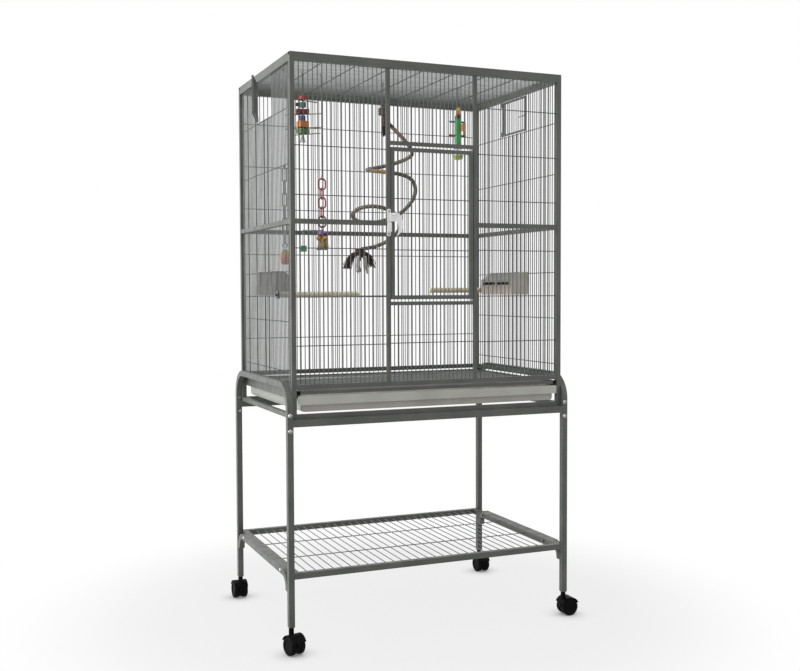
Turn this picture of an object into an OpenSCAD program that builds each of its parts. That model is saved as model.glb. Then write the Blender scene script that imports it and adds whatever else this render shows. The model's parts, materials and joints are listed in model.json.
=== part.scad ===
// Flight bird cage on a rolling stand: tube frames, wire walls, a front door, two nest-box doors,
// a grate and a tray that slide out, feeders, perches and hanging toys.
// Millimetres, +Z up. The front faces -Y and the origin is on the floor under the middle of the cage.

/* [Cage] */
// Outer width of the cage
cage_w = 813; // [720:1:950]
// Outer depth of the cage
cage_d = 533; // [460:1:620]
// Height of the wire walls, bottom rail and top rail included
wall_h = 868; // [800:1:1000]
// Height of the open bay under the walls, for the grate and the tray
base_h = 78; // [74:1:100]
// Side of the square tubes of the cage
tube_t = 12.7; // [11:0.1:14]
// Wall thickness of those tubes
tube_wall = 1; // [0.8:0.1:1.5]
// Height of the frame of the roof
roof_h = 9.6; // [8:0.1:14]
// Diameter of the wires
wire_d = 2.5; // [2:0.1:3]
// Distance between neighbouring wires
wire_pitch = 12.7; // [12:0.1:20]

/* [Door] */
// Width of the door bay, from middle to middle of its posts
bay_w = 262; // [220:1:300]
// Side of the square tubes of the door and its bay
door_t = 10; // [9:0.1:10.4]
// Height of the underside of the door sill above the underside of the walls
sill_up = 219; // [180:0.5:260]
// Height of the door leaf
door_h = 411; // [360:1:440]
// Gap above and below the door leaf
door_gap = 6; // [5:0.1:9]
// Gap on each side of the door leaf
door_side_gap = 2.5; // [2.5:0.1:5]
// Width of the nest-box openings in the side walls
nest_w = 152; // [120:1:180]
// Angle at which the left nest-box door stands ajar
nest_ajar = 20; // [5:1:40]

/* [Stand] */
// Height of the seat of the cage above the floor
stand_h = 616; // [520:1:700]
// Side of the square tubes of the stand
leg_t = 16; // [14:0.1:19]
// Wall thickness of those tubes
leg_wall = 1.2; // [1:0.1:1.8]
// How far the legs stand out in front of and behind the cage
leg_proud = 11.7; // [9:0.1:14]
// Height of the rails under the front and the rear of the cage
seat_rail_h = 19; // [16:0.1:24]
// Rise of the side arches above the seat
arch_rise = 97; // [97:1:120]
// Bend radius of the side arches, along the middle of the tube
arch_r = 68; // [50:1:69]
// Height of the top of the lower shelf above the floor
shelf_z = 212; // [180:1:280]
// Distance between the wires of the lower shelf
shelf_pitch = 25.4; // [20:0.1:32]
// Bend radius of the shelf braces, along the middle of the tube
brace_r = 38; // [30:1:50]

/* [Casters] */
// Diameter of the wheels
wheel_d = 50; // [44:1:54]
// Width of one wheel
wheel_w = 14.5; // [12:0.5:20]
// Distance from the swivel axis to the axle
caster_trail = 14; // [11:0.5:16]
// Diameter of the swivel stem
stem_d = 8; // [6:0.1:9]
// Diameter of the axle
axle_d = 6; // [5:0.1:7]

/* [Fittings] */
// Height of the tray
tray_h = 42; // [34:0.5:44]
// Width of the feeders, along the side walls
feeder_w = 196; // [170:1:215]
// Depth of the feeders, into the cage
feeder_d = 60; // [54:1:76]
// Diameter of the wooden perches
perch_d = 16; // [12:0.1:19]
// Length of the wooden perches
perch_len = 232; // [200:1:280]
// Diameter of the rope of the spiral perch
rope_d = 12; // [10:0.1:14]
// Radius of the widest turn of the spiral perch, to the middle of the rope
spiral_r = 98; // [80:1:104]
// Drop of the turns of the spiral perch
spiral_drop = 267; // [240:1:300]

/* [Hidden] */

$fn = 32;
paint = [0.33, 0.35, 0.33];
// Overrun of every cut
cut = 1;
// Gap that stands for a weld or a seat between curved faces
weld_gap = 0.2;
// Gap at a piece that rests on or slides over another
seat_gap = 0.3;
// Radial running clearance of pins in their bores
pin_gap = 0.06;

// Places of the cage, worked out from its sizes
half_w = cage_w / 2;
half_d = cage_d / 2;
post_x = half_w - tube_t / 2;
post_y = half_d - tube_t / 2;
in_x = half_w - tube_t;
in_y = half_d - tube_t;
z_seat = stand_h;
z_bot = z_seat + base_h;
z_top = z_bot + wall_h;
mid_share = 0.508;
z_mid = z_bot + wall_h * mid_share;
low_z = [z_bot + tube_t, z_mid - tube_t / 2];
high_z = [z_mid + tube_t / 2, z_top - tube_t];
cross_in = wire_d + weld_gap;

// Heights of the cross wires, as shares of the lower and the upper half of a wall
front_low_shares = [0.24, 0.545, 0.85];
front_high_shares = [0.155, 0.47, 0.785];
side_low_shares = [0.074, 0.39, 0.705];
side_high_shares = [0.36, 0.72];
over_door_share = 0.53;
under_door_share = 0.5;
door_cross_shares = [0.318, 0.674];

function steps(a, b, pitch) = max(2, round((b - a) / pitch));
function between(a, b, pitch) = let (n = steps(a, b, pitch)) [for (i = [1 : n - 1]) a + i * (b - a) / n];
function along(span, shares) = [for (s = shares) span[0] + s * (span[1] - span[0])];

// Tube of oblong section standing over the XY plane, a weld gap short at both ends
module tube(len, a, b, wall) {
  translate([0, 0, weld_gap]) linear_extrude(len - 2 * weld_gap) difference() {
    square([a, b], center = true);
    square([a - 2 * wall, b - 2 * wall], center = true);
  }
}
module tube_x(x0, x1, y, z, h = tube_t, d = tube_t, wall = tube_wall) {
  translate([x0, y, z]) rotate([0, 90, 0]) tube(x1 - x0, h, d, wall);
}
module tube_y(y0, y1, x, z, h = tube_t, w = tube_t, wall = tube_wall) {
  translate([x, y0, z]) rotate([-90, 0, 0]) tube(y1 - y0, w, h, wall);
}
module tube_z(z0, z1, x, y, a = tube_t, wall = tube_wall) {
  translate([x, y, z0]) tube(z1 - z0, a, a, wall);
}
module wire_x(x0, x1, y, z, d = wire_d) {
  translate([x0, y, z]) rotate([0, 90, 0]) cylinder(h = x1 - x0, d = d);
}
module wire_y(y0, y1, x, z, d = wire_d) {
  translate([x, y0, z]) rotate([-90, 0, 0]) cylinder(h = y1 - y0, d = d);
}
module wire_z(z0, z1, x, y, d = wire_d) {
  translate([x, y, z0]) cylinder(h = z1 - z0, d = d);
}
// Plate with its low corner at one point and its high corner at another
module slab(low, high) {
  translate(low) cube(high - low);
}

// Front wall
header_z = z_bot + sill_up + door_t + door_gap + door_h + door_gap + door_t / 2;
sill_z = z_bot + sill_up + door_t / 2;
leaf_z = [sill_z + door_t / 2 + door_gap, header_z - door_t / 2 - door_gap];
leaf_half = bay_w / 2 - door_t / 2 - door_side_gap;
stile_x = leaf_half - door_t / 2;
bay_side = bay_w / 2 + door_t / 2;
bay_in = bay_w / 2 - door_t / 2;
door_face = post_y + door_t / 2;
door_pin_d = 4;
door_pin_len = 5;
door_collar_d = 8;
door_plug_len = 14;
door_plug_gap = 0.1;

// Rail over or under the door, bored for the door's pin
module door_rail(z, pin_side) {
  difference() {
    tube_x(-bay_in, bay_in, -post_y, z, door_t, door_t);
    translate([stile_x, -post_y, z + pin_side * door_t / 2 - cut - tube_wall])
      cylinder(h = 2 * (cut + tube_wall), r = door_pin_d / 2 + pin_gap);
  }
}

module front_frame() {
  color(paint) {
    for (s = [-1, 1]) {
      tube_z(z_seat, z_top, s * post_x, -post_y);
      tube_z(low_z[0], high_z[1], s * bay_w / 2, -post_y, door_t);
      tube_x(min(s * bay_side, s * in_x), max(s * bay_side, s * in_x), -post_y, z_mid);
    }
    for (z = [z_seat + tube_t / 2, z_bot + tube_t / 2, z_top - tube_t / 2])
      tube_x(-in_x, in_x, -post_y, z);
    door_rail(header_z, -1);
    door_rail(sill_z, 1);
  }
}

module front_wires() {
  color(paint) {
    for (s = [0, 1]) mirror([s, 0, 0]) {
      for (x = between(bay_side, in_x, wire_pitch), z = [low_z, high_z]) wire_z(z[0], z[1], x, -post_y);
      for (z = concat(along(low_z, front_low_shares), along(high_z, front_high_shares)))
        wire_x(bay_side, in_x, -post_y + cross_in, z);
    }
    over = [header_z + door_t / 2, high_z[1]];
    under = [low_z[0], sill_z - door_t / 2];
    for (x = between(-bay_in, bay_in, wire_pitch), z = [over, under]) wire_z(z[0], z[1], x, -post_y);
    for (z = concat(along(over, [over_door_share]), along(under, [under_door_share])))
      wire_x(-bay_in, bay_in, -post_y + cross_in, z);
  }
}

// Rear wall
module rear_frame() {
  color(paint) {
    for (s = [-1, 1]) tube_z(z_seat, z_top, s * post_x, post_y);
    for (z = [z_seat + tube_t / 2, z_bot + tube_t / 2, z_mid, z_top - tube_t / 2])
      tube_x(-in_x, in_x, post_y, z);
  }
}

module rear_wires() {
  color(paint) {
    for (x = between(-in_x, in_x, wire_pitch), z = [low_z, high_z]) wire_z(z[0], z[1], x, post_y);
    for (z = concat(along(low_z, front_low_shares), along(high_z, front_high_shares)))
      wire_x(-in_x, in_x, post_y - cross_in, z);
  }
}

// Side walls: rails between the corner posts, wires, and an opening for a nest box
side_count = steps(-in_y, in_y, wire_pitch);
side_step = 2 * in_y / side_count;
// Half a step where the middle of the wall falls between two wires, else nothing
wire_shift = (side_count % 2) / 2;
bay_shift = 1 / 2 - wire_shift;
nest_half = (round(nest_w / 2 / side_step - wire_shift) + wire_shift) * side_step;
nest_z = along(high_z, side_high_shares)[1];
feeder_wire_z = along(low_z, side_low_shares)[2];

module side_rails(s) {
  for (z = [z_seat + tube_t / 2, z_bot + tube_t / 2, z_mid, z_top - tube_t / 2])
    tube_y(-in_y, in_y, s * post_x, z);
}

module side_wires(s) {
  for (y = between(-in_y, in_y, wire_pitch)) {
    in_nest = abs(y) < nest_half - side_step / 2;
    wire_z(low_z[0], low_z[1], s * post_x, y);
    wire_z(high_z[0], in_nest ? nest_z + wire_d / 2 : high_z[1], s * post_x, y);
  }
  for (z = concat(along(low_z, side_low_shares), along(high_z, side_high_shares)))
    wire_y(-in_y, in_y, s * (post_x - cross_in), z);
}

module left_rails() { color(paint) side_rails(-1); }
module right_rails() { color(paint) side_rails(1); }
module left_wires() { color(paint) side_wires(-1); }
module right_wires() { color(paint) side_wires(1); }

// Roof: a frame on the top rails, dense bars from side to side and a few cross wires under them
roof_z = z_top + roof_h / 2;
roof_cross_pitch = 100;

// Place of a roof bar, counted from the middle one
function bar_y(k) = (k + wire_shift) * side_step;
// Place of a gap between two upright wires of a side wall, counted from the middle one
function bay_y(k) = (k + bay_shift) * side_step;

module roof_frame() {
  color(paint) {
    for (s = [-1, 1]) {
      tube_x(-half_w, half_w, s * post_y, roof_z, roof_h, tube_t, tube_wall);
      tube_y(-in_y, in_y, s * post_x, roof_z, roof_h, tube_t, tube_wall);
    }
  }
}

module roof_wires() {
  color(paint) {
    for (y = between(-in_y, in_y, wire_pitch)) wire_x(-in_x, in_x, y, roof_z);
    for (x = between(-in_x, in_x, roof_cross_pitch)) wire_y(-in_y, in_y, x, roof_z - cross_in);
  }
}

// Runners on the corner posts: an upper ledge carries the grate, a lower one the rim of the tray
runner_t = 2;
ledge_w = 12;
slide_gap = 0.8;
grate_h = 9.5;
grate_gap = 4;
grate_z = z_bot - grate_gap - grate_h;
grate_ledge = grate_z - seat_gap;
tray_gap = 2;
tray_top = grate_ledge - runner_t - tray_gap;
sheet_t = 1.5;
tray_ledge = tray_top - sheet_t - seat_gap;
runner_foot = 10;
slide_x = in_x - runner_t - slide_gap;
front_y = -post_y - sheet_t;
runner_y = post_y - seat_gap - slide_gap;

module runner() {
  slab([in_x - runner_t, -runner_y, tray_ledge - runner_foot], [in_x, runner_y, grate_z + grate_h]);
  for (z = [grate_ledge, tray_ledge])
    slab([in_x - ledge_w, -runner_y, z - runner_t], [in_x, runner_y, z]);
}

module runners() {
  color(paint) for (s = [0, 1]) mirror([s, 0, 0]) runner();
}

// Grate over the tray: a frame of bars, front-to-back wires and black end caps
grate_bar = 8;
cap_len = 8;
grate_cross_shares = [0.25, 0.5, 0.75];

module grate_frame() {
  color(paint) {
    zc = grate_z + grate_h / 2;
    y0 = -post_y + grate_bar / 2;
    y1 = in_y - slide_gap;
    tube_x(-slide_x + cap_len, slide_x - cap_len, -post_y, zc, grate_h, grate_bar, tube_wall);
    tube_x(-slide_x, slide_x, y1 - grate_bar / 2, zc, grate_h, grate_bar, tube_wall);
    for (s = [-1, 1]) tube_y(y0, y1 - grate_bar, s * (slide_x - cap_len), zc, grate_h, grate_bar, tube_wall);
  }
}

module grate_wires() {
  color(paint) {
    x_in = slide_x - cap_len - grate_bar / 2;
    y0 = -post_y + grate_bar / 2;
    y1 = in_y - slide_gap - grate_bar;
    zc = grate_z + grate_h - wire_d;
    for (x = between(-x_in, x_in, wire_pitch)) wire_y(y0, y1, x, zc);
    for (y = along([y0, y1], grate_cross_shares)) wire_x(-x_in, x_in, y, zc - cross_in);
  }
}

module grate_caps() {
  color([0.06, 0.06, 0.06]) for (s = [0, 1]) mirror([s, 0, 0])
    slab([slide_x - cap_len, -post_y - grate_bar / 2, grate_z],
      [slide_x, -post_y + grate_bar / 2, grate_z + grate_h]);
}

// Tray: a pan with a folded lip across its front and side rims that hang on the lower ledges
tray_corner = 9;
tray_side_gap = 1.2;
tray_half = in_x - ledge_w - tray_side_gap;
lip_h = 23;
lip_out = 8;

// Pan outline across the cage, with round lower corners
module pan_outline(half, z0, z1, r) {
  translate([-half, z0 + r]) square([2 * half, z1 - z0 - r]);
  translate([-half + r, z0]) square([2 * (half - r), z1 - z0]);
  for (s = [-1, 1]) translate([s * (half - r), z0 + r]) circle(r);
}
module pan_block(half, z0, z1, r, y0, y1) {
  translate([0, y1, 0]) rotate([90, 0, 0]) linear_extrude(y1 - y0) pan_outline(half, z0, z1, r);
}

module tray() {
  color([0.68, 0.67, 0.63]) {
    z0 = tray_top - tray_h;
    back_y = in_y - slide_gap;
    difference() {
      union() {
        pan_block(tray_half, z0, tray_top, tray_corner, front_y, back_y);
        slab([-slide_x, front_y - lip_out, tray_top - sheet_t], [slide_x, back_y, tray_top]);
      }
      pan_block(tray_half - sheet_t, z0 + sheet_t, tray_top + cut, tray_corner - sheet_t,
        front_y + sheet_t, back_y - sheet_t);
    }
    slab([-slide_x, front_y - lip_out, tray_top - lip_h], [slide_x, front_y - lip_out + sheet_t, tray_top]);
  }
}

// Stand: side arches on lower legs, joined by inserts and bolts
leg_gap = 0.4;
leg_x = half_w + leg_gap + leg_t / 2;
leg_y = half_d + leg_proud - leg_t / 2;
leg_z0 = 69;
split_z = z_seat - seat_rail_h / 2;
insert_gap = 0.15;
insert_len = 2 * (z_seat + arch_rise - leg_t / 2 - arch_r - split_z - insert_gap);

module section(a, wall) {
  difference() {
    square(a, center = true);
    square(a - 2 * wall, center = true);
  }
}

// Arch of bent tube across the cage's depth, its feet at one height and its top at another
module arch(half, foot_z, top_z, r, a, wall) {
  cz = top_z - a / 2;
  for (s = [0, 1]) mirror([0, s, 0]) {
    translate([0, half, foot_z]) linear_extrude(cz - r - foot_z) section(a, wall);
    translate([0, half - r, cz - r]) rotate([90, 0, 90]) rotate_extrude(angle = 90, $fn = 48)
      translate([r, 0]) section(a, wall);
  }
  translate([0, -half + r, cz]) rotate([-90, 0, 0]) linear_extrude(2 * (half - r)) section(a, wall);
}

bolt_d = 5;
bolt_gap = 0.15;
bolt_up = 20.5;
nut_w = 9;
nut_t = 4;
bolt_end = 1.5;

// Holes of the two bolts at each leg
module leg_holes(s, t) {
  for (u = [-1, 1]) translate([s * leg_x, t * leg_y, split_z + u * bolt_up]) rotate([90, 0, 0])
    cylinder(h = leg_t + 2 * cut, d = bolt_d + 2 * bolt_gap, center = true);
}

module side_arch(s) {
  difference() {
    translate([s * leg_x, 0, 0]) arch(leg_y, split_z, z_seat + arch_rise, arch_r, leg_t, leg_wall);
    for (t = [-1, 1]) leg_holes(s, t);
  }
}
module left_arch() { color(paint) side_arch(-1); }
module right_arch() { color(paint) side_arch(1); }

module leg_pair(t) {
  for (s = [-1, 1]) difference() {
    tube_z(leg_z0, split_z, s * leg_x, t * leg_y, leg_t, leg_wall);
    leg_holes(s, t);
  }
}
module front_legs() { color(paint) leg_pair(-1); }
module rear_legs() { color(paint) leg_pair(1); }

module leg_inserts() {
  a = leg_t - 2 * leg_wall - 2 * insert_gap;
  color([0.5, 0.5, 0.5]) for (s = [-1, 1], t = [-1, 1]) difference() {
    translate([s * leg_x, t * leg_y, split_z]) cube([a, a, insert_len], center = true);
    leg_holes(s, t);
  }
}

module seat_rails() {
  color(paint) for (s = [-1, 1])
    tube_x(-leg_x + leg_t / 2, leg_x - leg_t / 2, s * leg_y, z_seat - seat_rail_h / 2, seat_rail_h, leg_t,
      leg_wall);
}

// Round head that stands on the XY plane
bolt_head_d = 13;
bolt_head_h = 4;
socket_w = 6;
socket_depth = 2.4;
module bolt_head(d = bolt_head_d, h = bolt_head_h) {
  dome_r = (d * d / 4 + h * h) / (2 * h);
  intersection() {
    translate([0, 0, h - dome_r]) sphere(dome_r);
    cylinder(h = h, d = d);
  }
}

// Bolt that clamps two or more walls: a head with a hexagon socket on the XY plane, a shank below and a nut
module bolt(grip) {
  difference() {
    bolt_head();
    translate([0, 0, bolt_head_h - socket_depth]) cylinder(h = socket_depth + cut, d = socket_w, $fn = 6);
  }
  translate([0, 0, -grip - nut_t - bolt_end]) cylinder(h = grip + nut_t + bolt_end, d = bolt_d);
  translate([0, 0, -grip - nut_t]) cylinder(h = nut_t, d = nut_w, $fn = 6);
}

module stand_bolts() {
  color([0.75, 0.75, 0.74]) for (s = [-1, 1], t = [0, 1], u = [-1, 1])
    mirror([0, t, 0]) translate([s * leg_x, -leg_y - leg_t / 2, split_z + u * bolt_up])
      rotate([90, 0, 0]) bolt(leg_t);
}

// Lower shelf: bent braces between the legs, a frame bolted to them, and wires
brace_half = leg_y - leg_t;
brace_foot = 4;
brace_drop = brace_r + leg_t / 2 + brace_foot;
shelf_x = leg_x - leg_t / 2;
shelf_in_x = shelf_x - leg_t;
shelf_y = leg_y - leg_t / 2;
shelf_cross_shares = [0.333, 0.667];
shelf_wire_drop = 4;
shelf_bolt_share = 0.75;

// Holes of the two bolts at each side of the shelf
module shelf_holes(s) {
  for (t = [-1, 1])
    translate([s * (shelf_x - leg_t - cut), t * shelf_y * shelf_bolt_share, shelf_z - leg_t / 2])
      rotate([0, s * 90, 0]) cylinder(h = 2 * (leg_t + cut), d = bolt_d + 2 * bolt_gap);
}

module shelf_braces() {
  color(paint) for (s = [-1, 1]) difference() {
    translate([s * leg_x, 0, 0]) arch(brace_half, shelf_z - brace_drop, shelf_z, brace_r, leg_t, leg_wall);
    shelf_holes(s);
  }
}

module shelf_frame() {
  color(paint) for (s = [-1, 1]) {
    tube_x(-shelf_x, shelf_x, s * leg_y, shelf_z - leg_t / 2, leg_t, leg_t, leg_wall);
    difference() {
      tube_y(-shelf_y, shelf_y, s * (shelf_x - leg_t / 2), shelf_z - leg_t / 2, leg_t, leg_t, leg_wall);
      shelf_holes(s);
    }
  }
}

module shelf_wires() {
  zc = shelf_z - shelf_wire_drop;
  color(paint) {
    for (x = between(-shelf_in_x, shelf_in_x, shelf_pitch)) wire_y(-shelf_y, shelf_y, x, zc);
    for (y = along([-shelf_y, shelf_y], shelf_cross_shares))
      wire_x(-shelf_in_x, shelf_in_x, y, zc - cross_in);
  }
}

module shelf_bolts() {
  color([0.75, 0.75, 0.74]) for (s = [0, 1], t = [-1, 1])
    mirror([s, 0, 0]) translate([leg_x + leg_t / 2, t * shelf_y * shelf_bolt_share, shelf_z - leg_t / 2])
      rotate([0, 90, 0]) bolt(2 * leg_t);
}

// Casters: a plug in each leg, a swivel fork with a stem and a fender, and two wheels on an axle
plug_flange = 3;
plug_len = 34;
plug_wall_gap = 0.1;
plug_z = leg_z0 - plug_flange;
plug_foot_d = 13;
fork_gap = 0.4;
core_w = 12;
wheel_gap = 0.5;
fender_gap = 1.2;
fender_t = 2.6;
fender_angle = 130;
neck_d = 14;
stem_in = 26;
axle_z = wheel_d / 2;
fender_in = wheel_d / 2 + fender_gap;
caster_half = core_w / 2 + wheel_gap + wheel_w;
core_r = wheel_d / 2 - fender_t;

module caster_plugs() {
  a = leg_t - 2 * leg_wall - 2 * plug_wall_gap;
  color([0.05, 0.05, 0.05]) for (s = [-1, 1], t = [-1, 1]) translate([s * leg_x, t * leg_y, plug_z])
    difference() {
      union() {
        cylinder(h = plug_flange, d1 = plug_foot_d, d2 = leg_t);
        translate([-a / 2, -a / 2, plug_flange]) cube([a, a, plug_len]);
      }
      translate([0, 0, -cut]) cylinder(h = plug_flange + plug_len + 2 * cut, r = stem_d / 2 + pin_gap);
    }
}

// Wedge of a ring about the axle, over the wheels
module fender() {
  translate([caster_trail, 0, axle_z]) rotate([90, 0, 0]) rotate([0, 0, 90 - fender_angle / 2])
    rotate_extrude(angle = fender_angle, $fn = 64) translate([fender_in, -caster_half])
      square([fender_t, 2 * caster_half]);
}
module across(r, w) {
  translate([caster_trail, w / 2, axle_z]) rotate([90, 0, 0]) cylinder(h = w, r = r, $fn = 64);
}

module caster_fork() {
  color([0.05, 0.05, 0.05]) difference() {
    union() {
      fender();
      across(core_r, core_w);
      intersection() {
        across(fender_in + fender_t / 2, core_w);
        translate([caster_trail - fender_in, -core_w / 2, axle_z])
          cube([2 * fender_in, core_w, 2 * fender_in]);
      }
      difference() {
        translate([0, 0, axle_z]) cylinder(h = plug_z - fork_gap - axle_z, d = neck_d);
        across(fender_in, 2 * caster_half);
      }
      translate([0, 0, plug_z - fork_gap - neck_d / 2])
        cylinder(h = fork_gap + neck_d / 2 + stem_in, d = stem_d);
    }
    across(axle_d / 2 + pin_gap, 2 * caster_half);
  }
}

wheel_edge = 3;
dish_depth = 2;
dish_share = 0.62;
module wheel() {
  r = wheel_d / 2;
  rotate_extrude($fn = 64) polygon([[axle_d / 2 + pin_gap, 0], [r - wheel_edge / 2, 0], [r, wheel_edge / 2],
    [r, wheel_w - wheel_edge], [r - wheel_edge, wheel_w], [r * dish_share + dish_depth, wheel_w],
    [r * dish_share, wheel_w - dish_depth], [axle_d / 2 + pin_gap, wheel_w - dish_depth]]);
}

module caster_wheels() {
  color([0.08, 0.08, 0.08]) translate([caster_trail, 0, axle_z]) {
    for (s = [0, 1]) mirror([0, s, 0]) translate([0, -core_w / 2 - wheel_gap, 0]) rotate([90, 0, 0]) wheel();
    rotate([90, 0, 0]) cylinder(h = 2 * caster_half - 2 * dish_depth, d = axle_d, center = true);
  }
}

// Place of a caster: side, end and the way it trails
module at_leg(s, t, turn) {
  translate([s * leg_x, t * leg_y, 0]) rotate([0, 0, turn]) children();
}
module front_left_fork() { at_leg(-1, -1, -75) caster_fork(); }
module front_left_wheels() { at_leg(-1, -1, -75) caster_wheels(); }
module front_right_fork() { at_leg(1, -1, 0) caster_fork(); }
module front_right_wheels() { at_leg(1, -1, 0) caster_wheels(); }
module rear_left_fork() { at_leg(-1, 1, 90) caster_fork(); }
module rear_left_wheels() { at_leg(-1, 1, 90) caster_wheels(); }
module rear_right_fork() { at_leg(1, 1, -90) caster_fork(); }
module rear_right_wheels() { at_leg(1, 1, -90) caster_wheels(); }

// Door leaf with pivot pins at the right stile
module door_frame() {
  color(paint) {
    for (s = [-1, 1]) tube_z(leaf_z[0], leaf_z[1], s * stile_x, -post_y, door_t);
    for (z = [leaf_z[0] + door_t / 2, leaf_z[1] - door_t / 2])
      tube_x(-leaf_half + door_t, leaf_half - door_t, -post_y, z, door_t, door_t);
  }
}

module door_wires() {
  x1 = leaf_half - door_t;
  z = [leaf_z[0] + door_t, leaf_z[1] - door_t];
  color(paint) {
    for (x = between(-x1, x1, wire_pitch)) wire_z(z[0], z[1], x, -post_y);
    for (h = along(z, door_cross_shares)) wire_x(-x1, x1, -post_y + cross_in, h);
  }
}

// Pin that points up from the XY plane, with a collar on it and a plug under it that fills the stile's end
module door_pin() {
  a = door_t - 2 * tube_wall - 2 * door_plug_gap;
  cylinder(h = door_gap + door_pin_len, d = door_pin_d);
  cylinder(h = door_gap - seat_gap, d = door_collar_d);
  translate([-a / 2, -a / 2, -door_plug_len]) cube([a, a, door_plug_len]);
}
module door_pins() {
  color([0.75, 0.75, 0.74]) {
    translate([stile_x, -post_y, leaf_z[1]]) door_pin();
    translate([stile_x, -post_y, leaf_z[0]]) mirror([0, 0, 1]) door_pin();
  }
}

// Latch: a claw-shaped lever on the door's free stile and a keeper plate on the post beside it
lever_t = 3;
// Outer and inner round of the claw: reach to the right of the pivot, drop of its middle and radius
lever_out = 27;
lever_drop = 26;
lever_r = 36.8;
lever_in = 13.5;
lever_in_drop = 38;
lever_in_r = 42.5;
// Square head of the lever: how far it reaches left, right, down and up from the pivot
head_left = 12;
head_right = 16;
head_down = 19.5;
head_up = 3.5;
lever_boss_r = 5;
lever_up_share = 0.558;
lever_z = leaf_z[0] + door_h * lever_up_share;
lever_pin_d = 4;
lever_head_h = 2.4;
keeper_w = door_t;
keeper_h = 74;
keeper_t = 2.5;
keeper_drop = 22;
screw_pitch = 61.6;
screw_head_d = 7;
screw_head_h = 1.8;
tongue_shares = [0.16, 0.5];
tongue_t = 1.6;
lever_off = keeper_t + screw_head_h + seat_gap;

module latch_lever() {
  color([0.86, 0.86, 0.85]) translate([-stile_x, -door_face - lever_off, lever_z]) rotate([90, 0, 0])
    linear_extrude(lever_t) difference() {
      union() {
        intersection() {
          difference() {
            translate([lever_out - lever_r, -lever_drop]) circle(lever_r, $fn = 64);
            translate([lever_in - lever_in_r, -lever_in_drop]) circle(lever_in_r, $fn = 64);
          }
          translate([-head_left, -lever_drop - lever_r])
            square([head_left + lever_out, lever_r + lever_drop + head_up]);
        }
        translate([-head_left, -head_down]) square([head_left + head_right, head_down + head_up]);
        circle(lever_boss_r);
      }
      circle(lever_pin_d / 2 + pin_gap);
    }
}

module latch_pivot() {
  color([0.7, 0.7, 0.69]) translate([-stile_x, -door_face, lever_z]) rotate([90, 0, 0]) {
    cylinder(h = lever_off - seat_gap, d = 2 * lever_pin_d);
    cylinder(h = lever_off + lever_t + seat_gap, d = lever_pin_d);
    translate([0, 0, lever_off + lever_t + seat_gap]) bolt_head(2 * lever_pin_d, lever_head_h);
  }
}

// Keeper with a raised strip that the tip of the lever swings behind
module latch_keeper() {
  tongue_y = lever_off + lever_t + seat_gap;
  z0 = lever_z - keeper_drop - keeper_h / 2 + keeper_h * tongue_shares[0];
  tongue_h = keeper_h * (tongue_shares[1] - tongue_shares[0]);
  color([0.86, 0.86, 0.85]) {
    translate([-bay_w / 2, -door_face, lever_z - keeper_drop]) rotate([90, 0, 0]) linear_extrude(keeper_t) {
      square([keeper_w, keeper_h - keeper_w], center = true);
      for (s = [-1, 1]) translate([0, s * (keeper_h - keeper_w) / 2]) circle(d = keeper_w);
    }
    translate([-bay_w / 2 - keeper_w / 2, -door_face - tongue_y - tongue_t, z0]) {
      cube([tongue_t, tongue_y + tongue_t, tongue_h]);
      cube([keeper_w, tongue_t, tongue_h]);
    }
  }
}

module latch_screws() {
  color([0.6, 0.6, 0.6]) for (s = [-1, 1])
    translate([-bay_w / 2, -door_face - keeper_t, lever_z - keeper_drop + s * screw_pitch / 2])
      rotate([90, 0, 0]) bolt_head(screw_head_d, screw_head_h);
}

// Nest-box doors: a small grille that turns on one upright wire of the side wall
nest_bar = 5;
nest_gap = 4;
knuckle_d = 7;
knuckle_len = 14;
catch_len = 45;
catch_x = nest_bar / 2 - weld_gap;
nest_leaf_z = [nest_z + wire_d / 2 + nest_gap, z_top - tube_t - nest_gap];

// Leaf hung from a wire on the Z axis and reaching towards -Y, with its catch on the -X face
module nest_leaf() {
  zs = [nest_leaf_z[0] + nest_bar / 2, nest_leaf_z[1] - nest_bar / 2];
  reach = 2 * nest_half - wire_d / 2 - nest_gap;
  rear_y = -knuckle_d / 2 - nest_bar / 2;
  difference() {
    union() {
      for (z = zs) slab([-nest_bar / 2, -reach, z - nest_bar / 2], [nest_bar / 2, 0, z + nest_bar / 2]);
      for (y = [-reach + nest_bar / 2, rear_y])
        slab([-nest_bar / 2, y - nest_bar / 2, zs[0]], [nest_bar / 2, y + nest_bar / 2, zs[1]]);
      for (y = between(-reach + nest_bar, rear_y - nest_bar / 2, wire_pitch)) wire_z(zs[0], zs[1], 0, y);
      for (z = [nest_leaf_z[0], nest_leaf_z[1] - knuckle_len]) wire_z(z, z + knuckle_len, 0, 0, knuckle_d);
      wire_z(zs[0], zs[0] + catch_len, -catch_x, -reach + nest_bar / 2);
      wire_y(-reach + nest_bar / 2, -reach + nest_bar / 2 + catch_len, -catch_x, zs[0] + catch_len);
    }
    wire_z(nest_leaf_z[0] - cut, nest_leaf_z[1] + cut, 0, 0, wire_d + 2 * pin_gap);
  }
}

module left_nest_door() {
  color(paint) translate([-post_x, nest_half, 0]) rotate([0, 0, -nest_ajar]) nest_leaf();
}
module right_nest_door() {
  color(paint) translate([post_x, nest_half, 0]) mirror([1, 0, 0]) nest_leaf();
}

// Feeders: a tub with a back plate hooked on a cross wire, and a sloped hood with two openings
tub_h = 28;
hood_h = 40;
shell_t = 2;
feeder_lip = 5;
hook_w = 6;
hook_reach_share = 0.3;
feeder_top_up = 4;
wall_face = post_x - cross_in - wire_d / 2 - seat_gap;
tub_z = feeder_wire_z + feeder_top_up - tub_h - hood_h;
hood_front_share = 0.45;
hood_flat_share = 0.4;
window_margin = 12;
window_sill = 2;
window_h = 8;
// The left feeder hangs this many gaps between wires behind the middle of its wall
left_feeder_bays = 2;

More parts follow.
